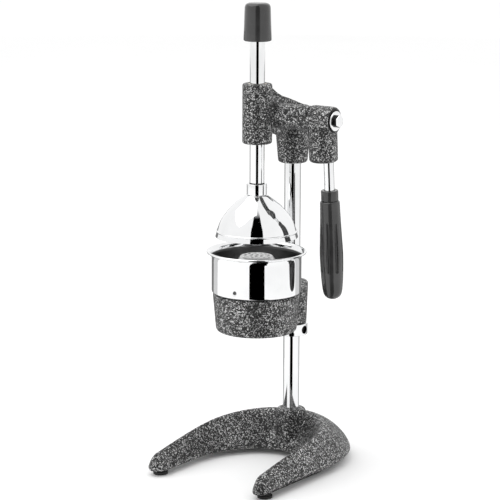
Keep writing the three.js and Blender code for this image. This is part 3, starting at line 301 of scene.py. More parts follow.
FINISH["rubber"] = finish(
    "black_rubber", handling, 0.4, 0.06, {"Metallic": 0.0}, Patches_Per_Metre=90.0, Smoothest=0.6,
    Dullest=0.85, Grain_Per_Metre=2200.0, Clean=grey(0.01), Handled=grey(0.022))[0]
FINISH["black_steel"] = finish(
    "black_oxide", handling, 0.15, 0.03, {"Metallic": 0.9}, Patches_Per_Metre=200.0, Smoothest=0.3,
    Dullest=0.5, Grain_Per_Metre=3000.0, Clean=grey(0.05), Handled=grey(0.09))[0]
print("finishes", sorted(FINISH))

# %% [markdown]
# Some places are painted dark although the piece is bright. Painted shade darkens the cup's inside,
# which is also duller, the recess over a set screw and the hub's end round its bore; a painted dark
# reflection lies in a band on the rod, and painted shade and dark reflection on the sides of the
# hub's bolt. A distance from a point or an axis, measured on the piece itself, finds each of them.

# %% A painted dark zone within a finish: painted shade and reflection


def copy_of(base, name):
    """A copy of a finish: material, tree, shader, and what feeds its colour and roughness."""
    material = FINISH[base].copy()
    material.name = name
    tree = material.node_tree
    shader = next(node for node in tree.nodes if node.type == "BSDF_PRINCIPLED")
    fed = [shader.inputs[label].links[0].from_socket for label in ("Base Color", "Roughness")]
    return material, tree, shader, *fed


def with_painted_shade_and_reflection(name, base, axis, across, reach, dark, rough):
    """A copy of a finish painted dark and dull nearer than reach to the axis, in millimetres: painted
    shade and reflection.
    """
    material, tree, shader, colour, dull = copy_of(base, name)
    place = tree.nodes.new("ShaderNodeTexCoord").outputs["Object"]
    offset = put(tree, "ShaderNodeVectorMath", {"operation": "SUBTRACT"}, a=place, b=axis).outputs[0]
    flat = put(tree, "ShaderNodeVectorMath", {"operation": "MULTIPLY"}, a=offset, b=across).outputs[0]
    away = put(tree, "ShaderNodeVectorMath", {"operation": "LENGTH"}, a=flat).outputs["Value"]
    # painted shade and reflection: faces nearer than reach are painted dark and made duller
    zone = between(tree, away, (reach - 0.1) * MM, (reach + 0.1) * MM, 1.0, 0.0)
    tree.links.new(tint(tree, zone, colour, grey(dark)), shader.inputs["Base Color"])
    kept = maths(tree, "MULTIPLY", dull, maths(tree, "SUBTRACT", 1.0, zone))
    added = maths(tree, "MULTIPLY", zone, rough)
    tree.links.new(maths(tree, "ADD", kept, added), shader.inputs["Roughness"])
    return material


# %% Give every carried-over solid its finish
for row in frame["record"]["subparts"]:
    solid = frame["nodes"][row["node"]]
    solid.data.materials.clear()
    solid.data.materials.append(FINISH[row["material_slot"]])

# %% [markdown]
# ## Turned pieces
# Most of the press comes off a lathe: rods, collars, the cup, the bell. A profile of [radius,
# height] points is spun round its axis. Real edges are never sharp, so each corner of the profile
# is first replaced by a short curve, which is what catches the light along a rim.

# %% Profiles and spinning


def bar_line(reach, low, high):
    """The profile of a solid bar."""
    return [(0, low), (reach, low), (reach, high), (0, high)]


def ring_line(bore, reach, low, high):
    """The profile of a ring or a tube."""
    return [(bore, low), (reach, low), (reach, high), (bore, high)]


def eased(profile, size):
    """The profile with each corner rounded over at most size on either side."""
    closed = profile[0][0] > 0
    count = len(profile)
    points = []
    for i, (reach, height) in enumerate(profile):
        at = Vector((reach, height))
        if not closed and i in (0, count - 1):
            points.append(at)
            continue
        to_last = Vector(profile[i - 1]) - at
        to_next = Vector(profile[(i + 1) % count]) - at
        if to_last.angle(to_next) > math.radians(172):
            points.append(at)
            continue
        room = min(size, 0.45 * to_last.length, 0.45 * to_next.length)
        start = at + to_last.normalized() * room
        end = at + to_next.normalized() * room
        for step in range(5):
            t = step / 4
            points.append(start * (1 - t) ** 2 + at * 2 * t * (1 - t) + end * t * t)
    return points


def spun(profile, steps=96, ease=0.5):
    """Corners and faces of the profile spun about +Z."""
    points = eased(profile, ease)
    closed = profile[0][0] > 0
    corners, faces, rings = [], [], []
    for reach, height in points:
        first = len(corners)
        if reach < 1e-6:
            corners.append((0.0, 0.0, height))
            rings.append([first] * steps)
            continue
        rings.append(list(range(first, first + steps)))
        for i in range(steps):
            turn = 2 * math.pi * i / steps
            corners.append((reach * math.cos(turn), reach * math.sin(turn), height))
    neighbours = list(zip(rings, rings[1:])) + ([(rings[-1], rings[0])] if closed else [])
    for low, high in neighbours:
        for i in range(steps):
            j = (i + 1) % steps
            face = list(dict.fromkeys((low[i], low[j], high[j], high[i])))
            if len(face) > 2:
                faces.append(face)
    return corners, faces


def body_from(name, corners, faces):
    """A closed mesh object in metres with its faces turned outwards."""
    mesh = bpy.data.meshes.new(name)
    mesh.from_pydata([Vector(corner) * MM for corner in corners], [], faces)
    work = bmesh.new()
    work.from_mesh(mesh)
    bmesh.ops.remove_doubles(work, verts=work.verts, dist=1e-7)
    bmesh.ops.recalc_face_normals(work, faces=work.faces)
    work.to_mesh(mesh)
    work.free()
    item = bpy.data.objects.new(name, mesh)
    bpy.context.collection.objects.link(item)
    return item


def turned(name, profile, steps=96, ease=0.5):
    return body_from(name, *spun(profile, steps, ease))


def made_plain(item):
    """Turns the result of an object's modifiers into its own mesh."""
    bpy.context.view_layer.update()
    result = bpy.data.meshes.new_from_object(item.evaluated_get(bpy.context.evaluated_depsgraph_get()))
    item.modifiers.clear()
    item.data = result
    return item


def combine(item, operation, tool, solver="MANIFOLD"):
    """Cuts, joins or trims a piece with another closed body, which is then deleted."""
    step = item.modifiers.new(operation.lower(), "BOOLEAN")
    step.operation, step.solver, step.object = operation, solver, tool
    made_plain(item)
    bpy.data.objects.remove(tool)
    return item


def settle(item, where, body, slot, *nodes, crease=30, coat=None):
    """Puts a finished mesh in its place and hands it to its CAD body."""
    item.data.transform(where)
    item.data.materials.clear()
    item.data.materials.append(FINISH[coat or slot])
    item.data.shade_smooth()
    item.data.set_sharp_from_angle(angle=math.radians(crease))
    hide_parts(*nodes)
    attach(item, body)
    print(item.name, len(item.data.polygons), "faces")


# %% [markdown]
# ## Column, collars and the plunger's cap
# Plain turned bars, with the small chamfers that a lathe leaves. The cap is a hollow moulding with
# a softly rounded top.

# %% Column, shaft collar, bell collar
low, high = bottom_and_top("column")
column_radius = radius("column")
settle(turned("polished_column", bar_line(column_radius, low, high), 128, 1.0),
       ON_COLUMN, "stand", "chrome", "column")

low, high = bottom_and_top("bell_collar")
rod_radius = radius("rack_rod")
collar_radius = radius("bell_collar")
settle(turned("bell_collar_ring", ring_line(rod_radius + LOOSE, collar_radius, low, high), 128, 0.8),
       ON_ROD, "plunger", "chrome", "bell_collar")

# %% Cap
low, high = bottom_and_top("rod_cap")
cap_radius = radius("rod_cap")
rod_top = bottom_and_top("rack_rod")[1]
settle(turned("moulded_cap", [
    (0, rod_top + 0.4), (rod_radius + LOOSE, rod_top + 0.4), (rod_radius + LOOSE, low + 1.2),
    (rod_radius + 0.9, low), (cap_radius - 1.4, low), (cap_radius, low + 0.9),
    (cap_radius - 1.15, high - 4.6), (cap_radius - 2.7, high - 1.5), (cap_radius - 6.2, high),
    (0, high),
], 128, 1.6), ON_ROD, "plunger", "plastic", "rod_cap", crease=40)

# %% [markdown]
# ## Cuts that repeat
# The rack's teeth, the strainer's holes and the grip's flutes are each one cut made many times.
# Geometry Nodes place copies of one cutter, in rings or in a row, and take them all away at once.

# %% Geometry Nodes: cuts in a ring, and cuts in a row


def geometry_tree(name, inputs):
    tree = bpy.data.node_groups.new(name, "GeometryNodeTree")
    tree.interface.new_socket(name="Geometry", in_out="INPUT", socket_type="NodeSocketGeometry")
    tree.interface.new_socket(name="Geometry", in_out="OUTPUT", socket_type="NodeSocketGeometry")
    for label, kind, default in inputs:
        socket = tree.interface.new_socket(name=label, in_out="INPUT", socket_type=kind)
        if default is not None:
            socket.default_value = default
    return tree, tree.nodes.new("NodeGroupInput").outputs, tree.nodes.new("NodeGroupOutput").inputs


def cut_and_close(tree, given, out, places):
    """Instances the cutter on the places, takes it from the piece and sets the material."""
    cutter = put(tree, "GeometryNodeObjectInfo", None, Object=given["Cutter"])
    copies = put(tree, "GeometryNodeInstanceOnPoints", None, Points=places,
                 Instance=cutter.outputs["Geometry"])
    solid_copies = put(tree, "GeometryNodeRealizeInstances", None, Geometry=copies.outputs[0])
    cut = tree.nodes.new("GeometryNodeMeshBoolean")
    cut.operation = "DIFFERENCE"
    cut.solver = "MANIFOLD"
    tree.links.new(given["Geometry"], cut.inputs["Mesh 1"])
    tree.links.new(solid_copies.outputs[0], cut.inputs["Mesh 2"])
    plain = put(tree, "GeometryNodeRealizeInstances", None, Geometry=cut.outputs["Mesh"])
    coated = put(tree, "GeometryNodeSetMaterial", None, Geometry=plain.outputs[0],
                 Material=given["Material"])
    tree.links.new(coated.outputs[0], out["Geometry"])


ring_cuts, given, out = geometry_tree("cuts_in_a_ring", [
    ("Cutter", "NodeSocketObject", None), ("Material", "NodeSocketMaterial", None),
    ("Count", "NodeSocketInt", 6), ("Radius", FLOAT, 0.007), ("Turn", FLOAT, 0.0)])
circle = put(ring_cuts, "GeometryNodeMeshCircle", None, Vertices=given["Count"],
             Radius=given["Radius"])
angle = put(ring_cuts, "ShaderNodeCombineXYZ", None, Z=given["Turn"]).outputs[0]
turned_ring = put(ring_cuts, "GeometryNodeTransform", None, Geometry=circle.outputs[0],
                  Rotation=angle)
cut_and_close(ring_cuts, given, out, turned_ring.outputs[0])

row_cuts, given, out = geometry_tree("cuts_in_a_row", [
    ("Cutter", "NodeSocketObject", None), ("Material", "NodeSocketMaterial", None),
    ("Count", "NodeSocketInt", 25), ("Spacing", FLOAT, 0.0047), ("First Height", FLOAT, 0.38)])
start = put(row_cuts, "ShaderNodeCombineXYZ", None, Z=given["First Height"]).outputs[0]
step = put(row_cuts, "ShaderNodeCombineXYZ", None, Z=given["Spacing"]).outputs[0]
row = put(row_cuts, "GeometryNodeMeshLine", None, Count=given["Count"], Start_Location=start,
          Offset=step)
cut_and_close(row_cuts, given, out, row.outputs[0])


def run_tree(item, tree, **values):
    """Runs a Geometry Nodes tree on an object with its inputs set by their identifiers."""
    step = item.modifiers.new(tree.name, "NODES")
    step.node_group = tree
    names = {socket.name: socket.identifier for socket in tree.interface.items_tree
             if socket.in_out == "INPUT"}
    for label, value in values.items():
        step[names[label.replace("_", " ")]] = value
    return made_plain(item)


print("trees", ring_cuts.name, row_cuts.name)

# %% [markdown]
# ## The toothed rod
# The plunger's rod is a polished bar with rack teeth milled across its back, where the pinion
# meets it. One tooth gap is a prism with sloping sides; the row of cuts repeats it at the rack's
# pitch, which is pi times the module.

# %% Rod and rack
MODULE = 1.5
PITCH = math.pi * MODULE
PRESSURE = math.tan(math.radians(20))
PITCH_LINE = rod_radius - MODULE - 0.1
ROOT = PITCH_LINE - 1.25 * MODULE
low, high = bottom_and_top("rack_rod")
rod = turned("toothed_rod", bar_line(rod_radius, low, high), 128, 0.8)
BACKLASH = 0.25
half_gap = PITCH / 4 + BACKLASH
beyond = rod_radius + 1
narrow = half_gap - (PITCH_LINE - ROOT) * PRESSURE
wide = half_gap + (beyond - PITCH_LINE) * PRESSURE
outline = [(ROOT, -narrow), (beyond, -wide), (beyond, wide), (ROOT, narrow)]
corners = [(side * beyond, y, z) for side in (-1, 1) for y, z in outline]
faces = [(0, 1, 2, 3), (7, 6, 5, 4)] + [(i, i + 4, (i + 1) % 4 + 4, (i + 1) % 4) for i in range(4)]
gap = body_from("tooth_gap", corners, faces)
TEETH_EACH_WAY = 12
run_tree(rod, row_cuts, Cutter=gap, Material=FINISH["chrome"], Count=2 * TEETH_EACH_WAY + 1,
         Spacing=PITCH * MM, First_Height=(shaft_centre.z - TEETH_EACH_WAY * PITCH) * MM)
bpy.data.objects.remove(gap)
# painted reflection: a thin dark band painted round the rod just above the bell's collar stands in for
# the collar's reflection
band = (0, 0, (bottom_and_top("bell_collar")[1] + 0.3) * MM)
FINISH["rod"] = with_painted_shade_and_reflection("polished_rod_dark_band", "chrome", band, (0, 0, 1), 0.75, 0.004,
                               0.5)
settle(rod, ON_ROD, "plunger", "chrome", "rack_rod", coat="rod")

# %% [markdown]
# ## The bell
# The bell is spun from sheet: a short shoulder under the collar, a long curve out to the skirt,
# a fine rolled line round it, and a plain rim. Both sides of the sheet are in the profile.

# %% Bell


def smooth_line(points, steps):
    """A smooth curve through [radius, height] points."""
    ends = [points[0], *points, points[-1]]
    line = []
    for a, b, c, d in zip(ends, ends[1:], ends[2:], ends[3:]):
        for i in range(steps):
            t = i / steps
            line.append(tuple(
                0.5 * (2 * b[k] + (c[k] - a[k]) * t
                       + (2 * a[k] - 5 * b[k] + 4 * c[k] - d[k]) * t * t
                       + (3 * b[k] - a[k] - 3 * c[k] + d[k]) * t ** 3) for k in (0, 1)))
    return line + [tuple(points[-1])]


low, high = bottom_and_top("pressing_bell")
rim = radius("pressing_bell")
bead = low + 6.6
bolt_hole = 5.3
flare = [(collar_radius + 0.6, high), (15.6, high - 1.6), (31.0, high - 15.0), (42.5, high - 30.5),
         (rim - 1.9, bead + 0.9)]
outside = smooth_line(flare, 14)
sheet = 1.5
inside = [(r - sheet * 0.86, z - sheet * 0.5) for r, z in outside][::-1]
bell = turned("spun_bell", [
    (bolt_hole, high), *outside,
    (rim - 0.75, bead + 0.7), (rim - 0.6, bead), (rim - 0.85, bead - 0.6),
    (rim - 1.6, bead - 0.95), (rim, low + 0.2),
    (rim - 0.5, low), (rim - sheet, low + 0.1), (rim - sheet - 1.4, bead - 0.9),
    *inside[:-1], (collar_radius - 0.7, high - sheet), (bolt_hole, high - sheet),
], 192, 0.35)
settle(bell, ON_ROD, "plunger", "chrome", "pressing_bell", crease=50)

# %% [markdown]
# ## The cup and its strainer
# The cup is deep-drawn and chromed, with a rolled rim and three small dimples pressed into its wall
# that hold the strainer. The dimples are made by pushing the wall's own points inwards, so the
# sheet keeps its thickness. Under its floor a neck and a funnel run down inside the ring to the
# spout.

# %% Cup
cup_low, cup_high = bottom_and_top("cup")
cup_rim = radius("cup")
wall = 53.7
seat = cup_high - 50.3
neck = 40.95
skin = 1.2
spout = 9.5
funnel = cup_low + 14
rise = [(wall, seat + 1.0 + i * 1.4) for i in range(30)]
inner_rise = [(wall - skin, z) for _, z in rise[1:]][::-1]
cup = turned("drawn_cup", [
    (spout, cup_low), (spout, funnel), (neck, funnel + 14), (neck, seat), (wall - skin, seat), *rise,
    (wall + 0.5, cup_high - 6.0), (wall + 1.4, cup_high - 3.9), (cup_rim - 1.4, cup_high - 3.2),
    (cup_rim, cup_high - 2.2), (cup_rim, cup_high - 1.0), (cup_rim - 1.4, cup_high),
    (cup_rim - 2.6, cup_high - 0.5), (wall + 0.9, cup_high - 2.4), (wall - 0.5, cup_high - 5.4),
    *inner_rise, (wall - skin, seat + skin), (neck - skin, seat + skin), (neck - skin, funnel + 14.5),
    (spout - skin, funnel + 0.6), (spout - skin, cup_low),
], 288, 0.7)
DIMPLES, DIMPLE_DEPTH, DIMPLE_REACH = 3, 1.7, 2.3
for i in range(DIMPLES):
    turn = math.radians(7 - 90 + 360 * i / DIMPLES)
    pressed = Vector((wall * math.cos(turn), wall * math.sin(turn), seat + 7.5)) * MM
    inward = Vector((math.cos(turn), math.sin(turn), 0))
    for point in cup.data.vertices:
        away = (point.co - pressed).length / MM
        if away < 7 and math.hypot(point.co.x, point.co.y) > (wall - 3) * MM:
            point.co -= inward * (DIMPLE_DEPTH * math.exp(-(away / DIMPLE_REACH) ** 4)) * MM
cup_axis = (MIDDLE_X * MM, middle("rod_cap").y * MM, 0)
# painted shade: the whole inside of the cup is painted dark grey and made duller
FINISH["cup"] = with_painted_shade_and_reflection("polished_cup_dull_inside", "chrome", cup_axis, (1, 1, 0),
                               wall - 0.6, 0.13, 0.42)
settle(cup, ON_ROD, "cup", "chrome", "cup", crease=45, coat="cup")

# %% [markdown]
# The strainer is a cone of satin sheet with a flat top. Its holes lie in rings round a middle one.

# %% Strainer cone
low, high = bottom_and_top("strainer_cone")
flange, top_radius, gauge = radius("strainer_cone"), 18.9, 1.0
foot = flange - 3
cone = turned("strainer", [
    (0, high - gauge), (top_radius - 0.5, high - gauge), (foot - gauge, low), (flange, low),
    (flange, low + gauge), (foot, low + gauge), (top_radius + gauge, high - gauge),
    (top_radius, high), (0, high),
], 144, 0.8)
punch = turned("hole_punch", bar_line(1.9, high - 4, high + 2), 20, 0.05)
for count, distance, turn in ((6, 7, 0), (12, 14, 15)):
    run_tree(cone, ring_cuts, Cutter=punch, Material=FINISH["stainless"], Count=count,
             Radius=distance * MM, Turn=math.radians(turn))
combine(cone, "DIFFERENCE", punch, "EXACT")
settle(cone, ON_ROD, "cup", "stainless", "strainer_cone", crease=35)

# %% [markdown]
# ## Castings
# Four pieces are sand-cast iron: the foot, the head, the ring that holds the cup, and the lever's
# hub. A casting has no sharp inner corners. Simple closed bodies are laid into one another, a
# voxel remesh melts them into one skin, and a few rounds of smoothing give the fillets. The bores
# are drilled afterwards, as they are on the real casting, so they stay crisp.

# %% Casting helper


def placed(shape, where):
    """Corners and faces moved by a placing in metres."""
    corners, faces = shape
    return [tuple((where @ (Vector(corner) * MM)) / MM) for corner in corners], faces


def cast(name, shapes, voxel, rounds):
    parts = [body_from(name + "_core", *shape) for shape in shapes]
    skin = parts[0]
    with bpy.context.temp_override(active_object=skin, object=skin, selected_objects=parts,
                                   selected_editable_objects=parts):
        bpy.ops.object.join()
    skin.name = name
    melt = skin.modifiers.new("melt", "REMESH")
    melt.mode = "VOXEL"
    melt.voxel_size = voxel * MM
    ease = skin.modifiers.new("ease", "SMOOTH")
    ease.factor = 0.5
    ease.iterations = rounds
    return made_plain(skin)


def drilled(item, shapes):
    """Takes closed bodies away from a casting, one after another."""
    for shape in shapes:
        combine(item, "DIFFERENCE", body_from("drill", *shape))


def rod_shape(reach, low, high, end_reach=None, steps=64):
    return spun([(0, low), (reach, low), (end_reach or reach, high), (0, high)], steps, 0.02)


def screw_hole(where, length=30, bore=5):
    """A hole for a set screw, drilled in from the back."""
    return placed(rod_shape(bore, 0, length), where @ Matrix.Rotation(-math.pi / 2, 4, "X"))


def plate(outline, low, high):
    """An outline of (y, z) points drawn out along X."""
    count = len(outline)
    corners = [(x, y, z) for x in (low, high) for y, z in outline]
    faces = [list(range(count))[::-1], list(range(count, 2 * count))]
    faces += [(i, (i + 1) % count, (i + 1) % count + count, i + count) for i in range(count)]
    return corners, faces


# %% [markdown]
# ### The foot
# The foot is a horseshoe. Its plan has two edges, each half an ellipse with straight legs. Between
# them stands a section with a crest nearer the outside, which is lofted from toe to toe. The crest
# falls from the back towards the toes, and each toe closes in a half round.

# %% Horseshoe
UNDERSIDE = 6.5
HALF_WIDTH, LEG = 89.7, 24.6
HEEL, HEEL_CENTRE = 117.0, -44.2
CROTCH, CROTCH_BACK = 91.7, -17.3
THROW = middle("column").y - middle("rod_cap").y
TOES = -THROW - 91.5
CREST = (51.7, 47.1, 29.5)


def plan_edge(half_width, length, centre, share):
    straight = centre - TOES
    curved = math.pi * math.sqrt((half_width ** 2 + length ** 2) / 8)
    run = share * (curved + straight)
    if run > curved:
        return Vector((half_width, centre - (run - curved)))
    turn = run / curved * math.pi / 2
    return Vector((half_width * math.sin(turn), centre + length * math.cos(turn)))


def leg_section(outer, inner, floor, crest, squash, steps=14):
    lip_share, lip_rise, crest_share = 0.18, 0.11, 0.58
    points = [(*outer.lerp(inner, lip_share), floor)]
    for i in range(2 * steps + 1):
        turn = math.pi / 2 * abs(i - steps) / steps
        outside = i <= steps
        across = (crest_share * (1 - math.sin(turn)) if outside
                  else crest_share + (1 - crest_share) * math.sin(turn))
        swell = 1.39 if outside else 1.31
        height = max(1 - math.sin(turn) ** swell, 0) ** (1 / swell)
        lifted = lip_rise + (1 - lip_rise) * height if i < 2 * steps else 0
        points.append((*outer.lerp(inner, across), floor + (crest - floor) * lifted * squash))
    return points


def horseshoe(inset, floor, stations=54, toe_steps=10):
    outer_half, inner_half = HALF_WIDTH - inset, HALF_WIDTH - LEG + inset
    leg = []
    for i in range(stations + 1):
        share = i / stations
        outer = plan_edge(outer_half, HEEL - inset, HEEL_CENTRE, share)
        inner = plan_edge(inner_half, CROTCH + inset, CROTCH_BACK - CROTCH, share)
        crest = (CREST[0] * (1 - share) * (1 - 2 * share) + CREST[1] * 4 * share * (1 - share)
                 + CREST[2] * share * (2 * share - 1))
        leg.append(leg_section(outer, inner, floor, crest - inset, 1))
    toe_half = (outer_half - inner_half) / 2
    toe_x = HALF_WIDTH - LEG / 2
    for i in range(1, toe_steps + 1):
        turn = math.pi / 2 * i / toe_steps
        reach = TOES - toe_half * 1.16 * math.sin(turn)
        half = toe_half * max(math.cos(turn), 0)
        squash = 0 if i == toe_steps else math.sqrt(math.cos(turn))
        leg.append(leg_section(Vector((toe_x + half, reach)), Vector((toe_x - half, reach)), floor,
                               CREST[2] - inset, squash))
    rings = [[(-x, y, z) for x, y, z in ring] for ring in leg[:0:-1]] + leg
    size = len(rings[0])
    faces = []
    for r in range(len(rings) - 1):
        for p in range(size):
            q = (p + 1) % size
            faces.append((r * size + p, (r + 1) * size + p, (r + 1) * size + q, r * size + q))
    return [point for ring in rings for point in ring], faces


print("horseshoe from", round(TOES, 1), "to", round(HEEL_CENTRE + HEEL, 1))

# %% Cast the foot
base_top = bottom_and_top("base")[1]
socket = spun(bar_line(18.5, UNDERSIDE, base_top), 96, 5.0)
foot_casting = cast("foot_casting", [horseshoe(0, UNDERSIDE), socket], 1.15, 5)
column_low = bottom_and_top("column")[0]
hollow = body_from("hollow", *horseshoe(5, UNDERSIDE - 1.5, 30, 5))
drilled(hollow, [rod_shape(18.3, 0, 35.6, None, 90)])
combine(foot_casting, "DIFFERENCE", hollow)
feet_places = [middle(f"foot_{place}") - Vector((MIDDLE_X, middle("column").y, 0))
               for place in ("front_left", "front_right", "rear")]
drilled(foot_casting, [
    rod_shape(column_radius + 0.2, column_low - 0.3, base_top + 5),
    rod_shape(5.3, 5, 30),
    rod_shape(12, 5, 17),
])
settle(foot_casting, ON_COLUMN, "stand", "hammertone", "base", crease=50)

# %% [markdown]
# ### Feet
# Three rubber feet are the same moulding, so it is made once and placed on three points by
# Geometry Nodes, then realised into one plain body. Their screws are done in the same way.

# %% Feet on points
on_points, given, out = geometry_tree("copies_on_points", [
    ("Copied", "NodeSocketObject", None), ("Material", "NodeSocketMaterial", None)])
copied = put(on_points, "GeometryNodeObjectInfo", None, Object=given["Copied"])
copies = put(on_points, "GeometryNodeInstanceOnPoints", None, Points=given["Geometry"],
             Instance=copied.outputs["Geometry"])
real = put(on_points, "GeometryNodeRealizeInstances", None, Geometry=copies.outputs[0])
coated = put(on_points, "GeometryNodeSetMaterial", None, Geometry=real.outputs[0],
             Material=given["Material"])
on_points.links.new(coated.outputs[0], out["Geometry"])


def copied_to(name, pattern, places, slot):
    mesh = bpy.data.meshes.new(name)
    mesh.from_pydata([(place.x * MM, place.y * MM, 0) for place in places], [], [])
    item = bpy.data.objects.new(name, mesh)
    bpy.context.collection.objects.link(item)
    run_tree(item, on_points, Copied=pattern, Material=FINISH[slot])
    bpy.data.objects.remove(pattern)
    return item


foot_top = bottom_and_top("foot_rear")[1]
foot_radius = radius("foot_rear")
one_foot = turned("one_foot", [
    (2.3, 2.6), (4.4, 2.6), (4.4, 0), (foot_radius - 0.6, 0), (foot_radius, 0.6), (foot_radius, 3.5),
    (7.2, 4.4), (7.2, foot_top), (2.3, foot_top),
], 64, 0.5)
settle(copied_to("rubber_feet", one_foot, feet_places, "rubber"), ON_COLUMN, "stand", "rubber",
       "foot_front_left", "foot_front_right", "foot_rear")
screw_low, screw_high = bottom_and_top("foot_screw_rear")
one_screw = turned("one_screw", [
    (0, screw_low + 0.9), (1.1, screw_low + 0.9), (1.1, screw_low), (4.1, screw_low), (4.1, 2.2),
    (2.0, 2.2), (2.0, screw_high), (0, screw_high)], 24, 0.2)
settle(copied_to("foot_screws", one_screw, feet_places, "gear_steel"), ON_COLUMN, "stand",
       "gear_steel", "foot_screw_front_left", "foot_screw_front_right", "foot_screw_rear")

# %% [markdown]
# ### The ring that holds the cup
# A tapered ring, a neck and a boss on the column, in one casting. The ring is bored for the cup's
# neck and the boss for the column, and a set screw goes in from behind. The set collar below is a
# turned ring with the recess of its own screw facing the lever's side.

# %% Cup holder
holder_low, holder_high = bottom_and_top("cup_holder")
ring_top, ring_bottom = holder_high - 1.2, holder_low + 4.4
ring_shape = spun([(0, ring_bottom), (48.3, ring_bottom), (52.6, ring_top), (0, ring_top)], 160, 4.5)
boss_shape = spun([(0, holder_low), (18.3, holder_low), (20, holder_high - 3), (18.6, holder_high - 0.5),
                   (0, holder_high)], 96, 1.5)
boss_at = move(0, THROW)
neck_low, neck_high = ring_bottom + 3, ring_top - 3
neck_shape = plate([(0, neck_low), (THROW, neck_low), (THROW, neck_high), (0, neck_high)], -15, 15)
holder = cast("holder_casting", [ring_shape, placed(boss_shape, boss_at), neck_shape], 0.95, 5)
drilled(holder, [
    rod_shape(41.3, ring_bottom - 1, ring_top + 1, 43.3, 128),
    placed(rod_shape(column_radius + LOOSE, holder_low - 1, holder_high + 1), boss_at),
    screw_hole(boss_at @ move(0, 0, (holder_low + holder_high) / 2)),
])
settle(holder, ON_ROD, "holder", "hammertone", "cup_holder", crease=50)

# %% Set collar
low, high = bottom_and_top("shaft_collar")
collar = turned("set_collar", ring_line(column_radius + LOOSE, radius("shaft_collar"), low, high),
                160, 0.7)
drilled(collar, [placed(rod_shape(5, 0, 30, None, 48), move(0, 0, (low + high) / 2) @ LAID_ALONG_X)])
# painted shade: faces within 5.1 mm of the set screw's axis across the collar are painted nearly black,
# as shade in its recess
recess = (0, middle("column").y * MM, (low + high) / 2 * MM)
FINISH["collar"] = with_painted_shade_and_reflection("polished_collar_dark_recess", "chrome", recess, (0, 1, 1), 5.1,
                                  0.004, 0.6)
settle(collar, ON_COLUMN, "holder", "chrome", "shaft_collar", coat="collar")

# %% [markdown]
# ### The head
# The head carries everything that moves. A tall guide holds the rod's two bushes, a round gearbox
# and its long barrel hold the pinion's shaft, and a boss grips the column. A thin web runs
# between them, with an arch under it.

# %% Head casting
guide_low = bottom_and_top("guide_bush_lower")[0] - 0.5
guide_high = bottom_and_top("head_casting")[1]
head_low = bottom_and_top("head_casting")[0]
boss_high = head_low + 69
guide_front = span("head_casting")[0].y
guide_radius = middle("rod_cap").y - guide_front
back = guide_radius - THROW
web_ridge = smooth_line([(back, guide_high - 3.6), (back + 8.3, guide_high - 9.4),
                         (back + 16.3, guide_high - 14.4), (back + 26.3, guide_high - 19.0),
                         (back + 39.3, guide_high - 22.8)], 5)
arch_low = guide_low - 8
arch = []
for i in range(13):
    turn = math.pi / 2 * (1 - i / 12)
    arch.append((back + 6 + (-19 - back - 6) * math.sin(turn), arch_low + 16.5 * math.cos(turn)))
web = [(rod_radius - THROW, guide_high - 3.4), *web_ridge, (18.5, boss_high - 1.2), (0, arch_low + 4),
       (0, arch_low), *arch, (rod_radius - THROW, arch_low + 16.5)]
shaft_y = shaft_centre.y - middle("column").y
on_shaft = move(0, shaft_y, shaft_centre.z) @ LAID_ALONG_X
to_rod = move(0, -THROW)
barrel_end = span("shaft_bush_outer")[1].x - MIDDLE_X + 0.5
gearbox_left = span("head_casting")[0].x - MIDDLE_X
head = cast("head_one_piece", [
    placed(spun(bar_line(guide_radius, guide_low, guide_high), 128, 2.6), to_rod),
    plate(web, -6, 6),
    spun([(0, head_low), (17.7, head_low), (20.8, head_low + 34.5), (20.8, boss_high), (0, boss_high)],
         128, 3.4),
    placed(spun(bar_line(18.5, gearbox_left, 9.4), 96, 1.0), on_shaft),
    placed(spun(bar_line(14.95, 0, barrel_end), 96, 0.8), on_shaft),
], 0.85, 5)
column_high = bottom_and_top("column")[1]
screws = [middle(f"head_grub_screw_{i}").z for i in (1, 2)]
drilled(head, [
    placed(rod_shape(11.75, guide_low - 1, guide_high + 1), to_rod),
    placed(rod_shape(15.6, gearbox_left - 1, 6.3), on_shaft),
    placed(rod_shape(11, 0, barrel_end + 1), on_shaft),
    rod_shape(column_radius + LOOSE, head_low - 1, column_high + 0.3),
    *[screw_hole(move(0, 0, height)) for height in screws],
])
settle(head, ON_COLUMN, "stand", "hammertone", "head_casting", crease=50)

# %% [markdown]
# ## The lever
# The hub is a short barrel on the shaft with a round lug below it that takes the handle's rod. The
# whole lever hangs a few degrees back from upright, so each piece is made upright first and its
# mesh is then turned about the shaft.

# %% Hub
hub_start = barrel_end + 0.6
hub_end = hub_start + 30.9
hub_radius, lug_radius, lug_drop = 16.4, 17.0, 49.3
handle_radius = 6.0
barrel = spun(bar_line(hub_radius, hub_start, hub_end), 96, 2.8)
lug = spun([(0, -12.3), (lug_radius, -12.3), (lug_radius - 0.1, -lug_drop), (0, -lug_drop)], 96, 3.2)
hub = cast("hub_casting", [placed(barrel, LAID_ALONG_X), placed(lug, move(hub_end - lug_radius, 0))],
           0.7, 4)
drilled(hub, [
    placed(rod_shape(15.7, hub_start - 12, hub_start), LAID_ALONG_X),
    placed(rod_shape(7.25, hub_start - 1, hub_end + 1), LAID_ALONG_X),
    placed(rod_shape(11.0, hub_end - 0.5, hub_end + 1), LAID_ALONG_X),
    placed(rod_shape(handle_radius + LOOSE, -lug_drop - 1, -10.2), move(HANDLE_X, 0)),
    screw_hole(move(HANDLE_X, 0, -0.7 * lug_drop), 20),
])
# painted shade: faces within 13.8 mm of the shaft's axis, the bores and the hub's end round the washer,
# are painted nearly black
hub_axis = (0, shaft_centre.y * MM, shaft_centre.z * MM)
FINISH["hub"] = with_painted_shade_and_reflection("hammertone_bare_end", "hammertone", hub_axis, (0, 1, 1), 13.8,
                               0.006, 0.6)
settle(hub, ON_LEVER, "lever", "hammertone", "lever_hub", crease=50, coat="hub")

